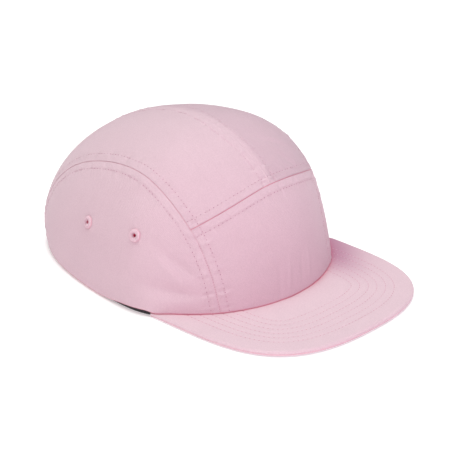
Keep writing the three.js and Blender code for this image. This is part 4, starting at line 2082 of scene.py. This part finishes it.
@dataclass
class InnerTrim:
    """The black sweatband, and the strap with its slider across the arch."""

    pattern: CapPattern
    band_width: float = 30.0
    band_thickness: float = 1.2
    band_levels: int = 10
    band_pitch: float = 3.4
    strap_width: float = 18.0
    strap_thickness: float = 1.5
    strap_lift: float = 3.0
    strap_tuck: float = 12.0
    buckle_length: float = 11.0
    buckle_wall: float = 1.8
    buckle_clearance: float = 1.0
    buckle_corner: float = 0.55
    band_grid: tuple[int, int] = (420, 110)
    strap_grid: tuple[int, int] = (180, 96)

    def build_band(self, maker: MeshMaker) -> None:
        """Makes the sweatband with a row of stitches under its upper edge.

        Args:
            maker: Turns each bmesh into a piece.
        """
        pattern = self.pattern
        end = pattern.around_at(0, 0.5 * pattern.arch_width + self.strap_tuck + pattern.layer_gap)
        band = Band("sweatband_weave", "sweatband", "band", pattern, -end, end, pattern.rise_at,
                    self.band_width, self.band_thickness, self.band_levels, self.band_grid)
        inner = band.build(maker, maker.finishes.band)
        rows = StitchRows(maker.placement, pitch=self.band_pitch, thickness=0.4, hole=0.5)
        holes = spaced(0.5 * (inner[-3] + inner[-2]), rows.pitch)
        ahead = unit(np.gradient(holes, axis=0))
        normals = unit(np.cross(ahead, [0.0, 0.0, 1.0]))
        facing = (normals * (np.array([0.0, 20.0, 20.0]) - holes)).sum(axis=1)
        normals = np.where(facing[:, None] < 0.0, -normals, normals)
        rows.sew(holes, normals)
        rows.finish(maker, "sweatband_stitching", [maker.finishes.thread, maker.finishes.hole])

    def strap_level(self, y: Array) -> Array:
        """Gives the height of the strap's lower edge."""
        return self.pattern.rim_height(y) + self.strap_lift

    def build_strap(self, maker: MeshMaker) -> None:
        """Makes the strap that closes the arch.

        Args:
            maker: Turns each bmesh into a piece.
        """
        pattern = self.pattern
        end = pattern.around_at(0, 0.5 * pattern.arch_width + self.strap_tuck)
        strap = Band("back_strap_webbing", "back_strap", "webbing", pattern, end, 360.0 - end,
                     self.strap_level, self.strap_width, self.strap_thickness, 1, self.strap_grid,
                     0.1, 1.3)
        strap.build(maker, maker.finishes.webbing)

    def build_buckle(self, maker: MeshMaker) -> None:
        """Makes the plain metal slider round the strap.

        Args:
            maker: Turns each bmesh into a piece.
        """
        crown, pattern = self.pattern.crown, self.pattern
        depth = pattern.cloth + pattern.layer_gap + 0.5 * self.strap_thickness
        ends = [
            crown.inside_level(crown.level_line(np.array([180.0]), lambda point, more=more: self.strap_level(
                point[..., 1]) + more), depth)[0]
            for more in (0.0, self.strap_width)
        ]
        centre = 0.5 * (ends[0] + ends[1])
        rise = unit(ends[1] - ends[0])
        strap = np.array([0.5 * np.linalg.norm(ends[1] - ends[0]), 0.5 * self.strap_thickness])
        window = strap + self.buckle_clearance
        outer = window + self.buckle_wall
        bm = bmesh.new()
        bmesh.ops.create_grid(bm, x_segments=3, y_segments=3, size=1.0)
        for vertex in bm.verts:
            x, y = vertex.co.x, vertex.co.y
            vertex.co.x = math.copysign((outer if abs(x) > 0.9 else window)[0], x)
            vertex.co.y = math.copysign((outer if abs(y) > 0.9 else window)[1], y)
        hole = [face for face in bm.faces if face.calc_center_median().length < 0.1]
        bmesh.ops.delete(bm, geom=hole, context="FACES")
        made = bmesh.ops.extrude_face_region(bm, geom=bm.faces[:])["geom"]
        bmesh.ops.translate(bm, vec=(0.0, 0.0, self.buckle_length),
                            verts=[item for item in made if isinstance(item, bmesh.types.BMVert)])
        bmesh.ops.recalc_face_normals(bm, faces=bm.faces[:])
        corners = [edge for edge in bm.edges if edge.calc_face_angle(0.0) > 1.0]
        bmesh.ops.bevel(bm, geom=corners, offset=self.buckle_corner, offset_type="OFFSET",
                        segments=3, profile=0.5, affect="EDGES", material=-1)
        side = np.array([1.0, 0.0, 0.0])
        facing = np.cross(side, rise)
        turn = Matrix([[rise[k], facing[k], side[k], 0.0] for k in range(3)] + [[0.0, 0.0, 0.0, 1.0]])
        half = Vector((0.0, 0.0, 0.5 * self.buckle_length))
        points = np.array([turn @ (vertex.co - half) for vertex in bm.verts])
        maker.set_points(bm.verts, points + centre)
        bmesh.ops.recalc_face_normals(bm, faces=bm.faces[:])
        for face in bm.faces:
            face.smooth = face.calc_area() < 3e-6
        maker.piece("buckle_slider", bm, [maker.finishes.steel], "metal", ("buckle",))

    def build(self, maker: MeshMaker) -> None:
        """Makes the band, the strap and the slider.

        Args:
            maker: Turns each bmesh into a piece.
        """
        self.build_band(maker)
        self.build_strap(maker)
        self.build_buckle(maker)


@dataclass
class Eyelets:
    """The four embroidered air holes."""

    pattern: CapPattern
    bore: float = 1.1
    outer: float = 4.2
    crest: float = 1.35
    strands: int = 44
    steps: int = 220
    ridge: float = 0.07
    spread_radius: float = 3.0
    wave: float = 0.1
    wave_width: float = 1.2
    # Where the painted shade down in the bore ends, and the strength and width of the painted shade round the
    # outer edge.
    hollow_until: tuple[float, float] = (1.7, 2.2)
    rim_shade: float = 0.2
    rim_width: float = 0.5

    def profile(self) -> list[tuple[float, float]]:
        """Draws half of the ring's section, as a closed loop of radius and height.

        Returns:
            The points of the loop.
        """
        middle, half = 0.5 * (self.bore + self.outer), 0.5 * (self.outer - self.bore)
        loop = []
        for turn in np.radians(np.linspace(-8.0, 180.0, 15)):
            loop.append((middle + half * math.cos(turn), self.crest * math.sin(turn)))
        under = -self.pattern.cloth
        return loop + [
            (0.7 * self.bore, 0.4 * under),
            (0.35 * self.bore, under),
            (0.8 * self.bore, under - 0.3),
            (self.bore + 0.7, under - 0.5),
            (self.bore + 1.7, under - 0.3),
            (self.bore + 1.9, under - 0.05),
            (self.bore + 0.9, under + 0.05),
            (self.bore + 0.85, -0.12),
        ]

    def build(self, maker: MeshMaker) -> None:
        """Makes the four rings.

        Args:
            maker: Turns each bmesh into a piece.
        """
        for side in Side:
            for name, around, up in self.pattern.eyelets:
                self.build_ring(maker, f"{side.word}_{name}", side.value * around, up)

    def build_ring(self, maker: MeshMaker, node: str, around: float, up: float) -> None:
        """Makes one ring and seats it on the cloth.

        Args:
            maker: Turns the bmesh into a piece.
            node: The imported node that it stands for.
            around: Degrees from the front.
            up: Degrees up from the level.
        """
        crown = self.pattern.crown
        direction = towards(np.array([around]), np.array([up]))
        normal, centre = crown.outwards(direction)[0], crown.outside(direction)[0]
        bm = bmesh.new()
        profile = self.profile()
        loop = bmesh.ops.create_circle(bm, segments=len(profile), radius=1.0)["verts"]
        for vertex, (radius, height) in zip(loop, profile):
            vertex.co = (radius, 0.0, height)
        bmesh.ops.spin(bm, geom=loop + bm.edges[:], cent=(0, 0, 0), axis=(0, 0, 1), angle=2 * math.pi,
                       steps=self.steps, use_merge=True)
        bmesh.ops.remove_doubles(bm, verts=bm.verts[:], dist=1e-4)
        bmesh.ops.recalc_face_normals(bm, faces=bm.faces[:])
        flat = np.array([vertex.co[:] for vertex in bm.verts])
        turn = np.arctan2(flat[:, 1], flat[:, 0])
        radius = np.hypot(flat[:, 0], flat[:, 1])
        wander = 0.35 * np.sin(5 * turn + around) + 0.2 * np.sin(11 * turn)
        ridge = self.ridge * np.cos(self.strands * turn + wander) * smoothstep(flat[:, 2], -0.2, 0.5)
        outside = smoothstep(radius, self.outer - self.wave_width, self.outer)
        edge_wave = self.wave * np.sin(7 * turn + up) * outside
        beyond = radius - self.spread_radius
        spread = ridge * np.sign(beyond) * smoothstep(np.abs(beyond), 0.3, 1.6)
        scale = 1.0 + (spread + edge_wave) / radius
        flat[:, :2] *= scale[:, None]
        flat[:, 2] += ridge
        # Painted shade down in the bore and round the ring's outer edge.
        hollow = smoothstep(-flat[:, 2], -0.5, 0.4) * (1.0 - smoothstep(radius, *self.hollow_until))
        rim = smoothstep(radius, self.outer - self.rim_width, self.outer)
        hollow = np.maximum(hollow, self.rim_shade * rim)
        quaternion = Vector((0, 0, 1)).rotation_difference(Vector(normal.tolist()))
        seated = np.array([(quaternion @ Vector(point)) for point in flat.tolist()]) + centre
        ordered = list(bm.verts)
        maker.set_points(ordered, seated)
        for face in bm.faces:
            face.smooth = True
        piece = maker.piece(f"{node}_embroidery", bm, [maker.finishes.satin], "thread", (node,))
        store_map(piece, "ring", np.stack([turn * self.strands * 2 / (2 * np.pi), radius], axis=1))
        store_number(piece, "crease", hollow)


@dataclass(frozen=True)
class SoftLight:
    """A square light that faces the cap.

    Its place is in metres: to the camera's right, up from the floor and towards the camera.
    """

    name: str
    right: float
    up: float
    near: float
    power: float
    colour: Colour
    size: float = 1.2

    def build(self, camera_right: Array, level: Array) -> None:
        """Adds the light.

        Args:
            camera_right: Unit vector to the camera's right.
            level: Unit vector towards the camera, level with the floor.
        """
        across = camera_right * self.right + level * self.near
        place = Vector((across + np.array([0.0, 0.0, self.up])).tolist())
        data = bpy.data.lights.new(self.name, "AREA")
        data.shape = "SQUARE"
        data.size = self.size
        data.energy = self.power
        data.color = self.colour
        light = bpy.data.objects.new(self.name, data)
        light.matrix_world = Matrix.Translation(place) @ (
            (place - Vector((0, 0, 0.05))).to_track_quat("Z", "Y").to_matrix().to_4x4())
        bpy.context.scene.collection.objects.link(light)


@dataclass
class Studio:
    """The floor, the lights and the camera."""

    placement: Placement
    azimuth: float = -46.302
    elevation: float = 24.706
    distance: float = 1139.27
    focal_pixels: float = 1776.68
    image_pixels: float = 460.0
    aim: tuple[float, float, float] = (0.0, -20.0, 45.0)
    slide: tuple[float, float] = (-5.071, -11.735)
    sensor: float = 36.0
    floor_half: float = 25.0
    floor: PaleFloor = PaleFloor("pale_floor", (0.81, 0.81, 0.81), (0.79, 0.79, 0.79), 0.34)
    sky: Colour = (1.0, 0.74, 0.87)
    sky_strength: float = 0.28
    lights: tuple[SoftLight, ...] = (
        SoftLight("top_light", 0.0, 2.2, 0.0, 32.3, (0.82, 1.0, 0.9)),
        SoftLight("left_light", -1.0, 1.9, 0.55, 12.2, (0.82, 0.85, 0.82)),
        SoftLight("right_light", 1.2, 1.6, 0.6, 1.6, (0.8, 0.8, 0.9)),
        SoftLight("front_light", 0.0, 0.7, 1.9, 4.2, (1.0, 0.9, 0.86)),
        SoftLight("back_light", 0.0, 1.6, -1.2, 3.8, (0.9, 0.95, 0.95)),
        SoftLight("low_light", 0.2, 0.3, 2.0, 9.4, (1.0, 0.92, 0.96)),
        SoftLight("low_right_light", 1.4, 0.3, 1.4, 6.6, (1.0, 0.6, 0.92)),
    )

    def axes(self) -> tuple[Array, Array, Array]:
        """Gives the camera's axes.

        Returns:
            Unit vectors to its right, up and back towards it.
        """
        a, e = math.radians(self.azimuth), math.radians(self.elevation)
        back = np.array([math.sin(a) * math.cos(e), -math.cos(a) * math.cos(e), math.sin(e)])
        right = unit(np.cross(-back, [0.0, 0.0, 1.0]))
        return right, np.cross(back, right), back

    def build_camera(self) -> None:
        """Sets the camera at the photograph's angle."""
        right, up, back = self.axes()
        target = np.array(self.aim) + self.slide[0] * right + self.slide[1] * up
        place = self.placement.metres(target + back * self.distance)
        data = bpy.data.cameras.new("camera")
        data.sensor_width = self.sensor
        data.lens = self.focal_pixels / self.image_pixels * self.sensor
        camera = bpy.data.objects.new("camera", data)
        turn = Matrix([[right[k], up[k], back[k], 0.0] for k in range(3)] + [[0.0, 0.0, 0.0, 1.0]])
        camera.matrix_world = Matrix.Translation(place.tolist()) @ turn
        bpy.context.scene.collection.objects.link(camera)
        bpy.context.scene.camera = camera

    def build(self, maker: MeshMaker) -> None:
        """Makes the floor, the lights and the camera.

        Args:
            maker: Holds the materials.
        """
        scene = bpy.context.scene
        bm = bmesh.new()
        bmesh.ops.create_grid(bm, x_segments=8, y_segments=8, size=self.floor_half)
        bmesh.ops.translate(bm, vec=(0.0, 0.0, -0.0004), verts=bm.verts[:])
        mesh = bpy.data.meshes.new("studio_floor")
        bm.to_mesh(mesh)
        bm.free()
        mesh.materials.append(maker.finishes.get(self.floor))
        floor = bpy.data.objects.new("studio_floor", mesh)
        scene.collection.objects.link(floor)
        world = bpy.data.worlds.new("studio_world")
        world.use_nodes = True
        sky = world.node_tree.nodes["Background"]
        sky.inputs["Color"].default_value = (*self.sky, 1.0)
        sky.inputs["Strength"].default_value = self.sky_strength
        scene.world = world
        right, _, back = self.axes()
        for light in self.lights:
            light.build(right, unit(back * np.array([1.0, 1.0, 0.0])))
        scene.view_settings.view_transform = "Standard"
        scene.view_settings.look = "None"
        self.build_camera()


def main() -> None:
    """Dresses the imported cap."""
    logging.basicConfig(level=logging.INFO, format="%(name)s: %(message)s")
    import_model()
    pattern = CapPattern()
    placement = Placement.from_peak(pattern.crown.front + pattern.peak_reach)
    LOG.info("placement: %.3f, %.3f mm", placement.shift_x, placement.shift_y)
    maker = MeshMaker(placement, Finishes())
    CrownPanels(pattern).build(maker)
    Peak(pattern).build(maker)
    InnerTrim(pattern).build(maker)
    Eyelets(pattern).build(maker)
    Studio(placement).build(maker)


if __name__ == "__main__":
    main()
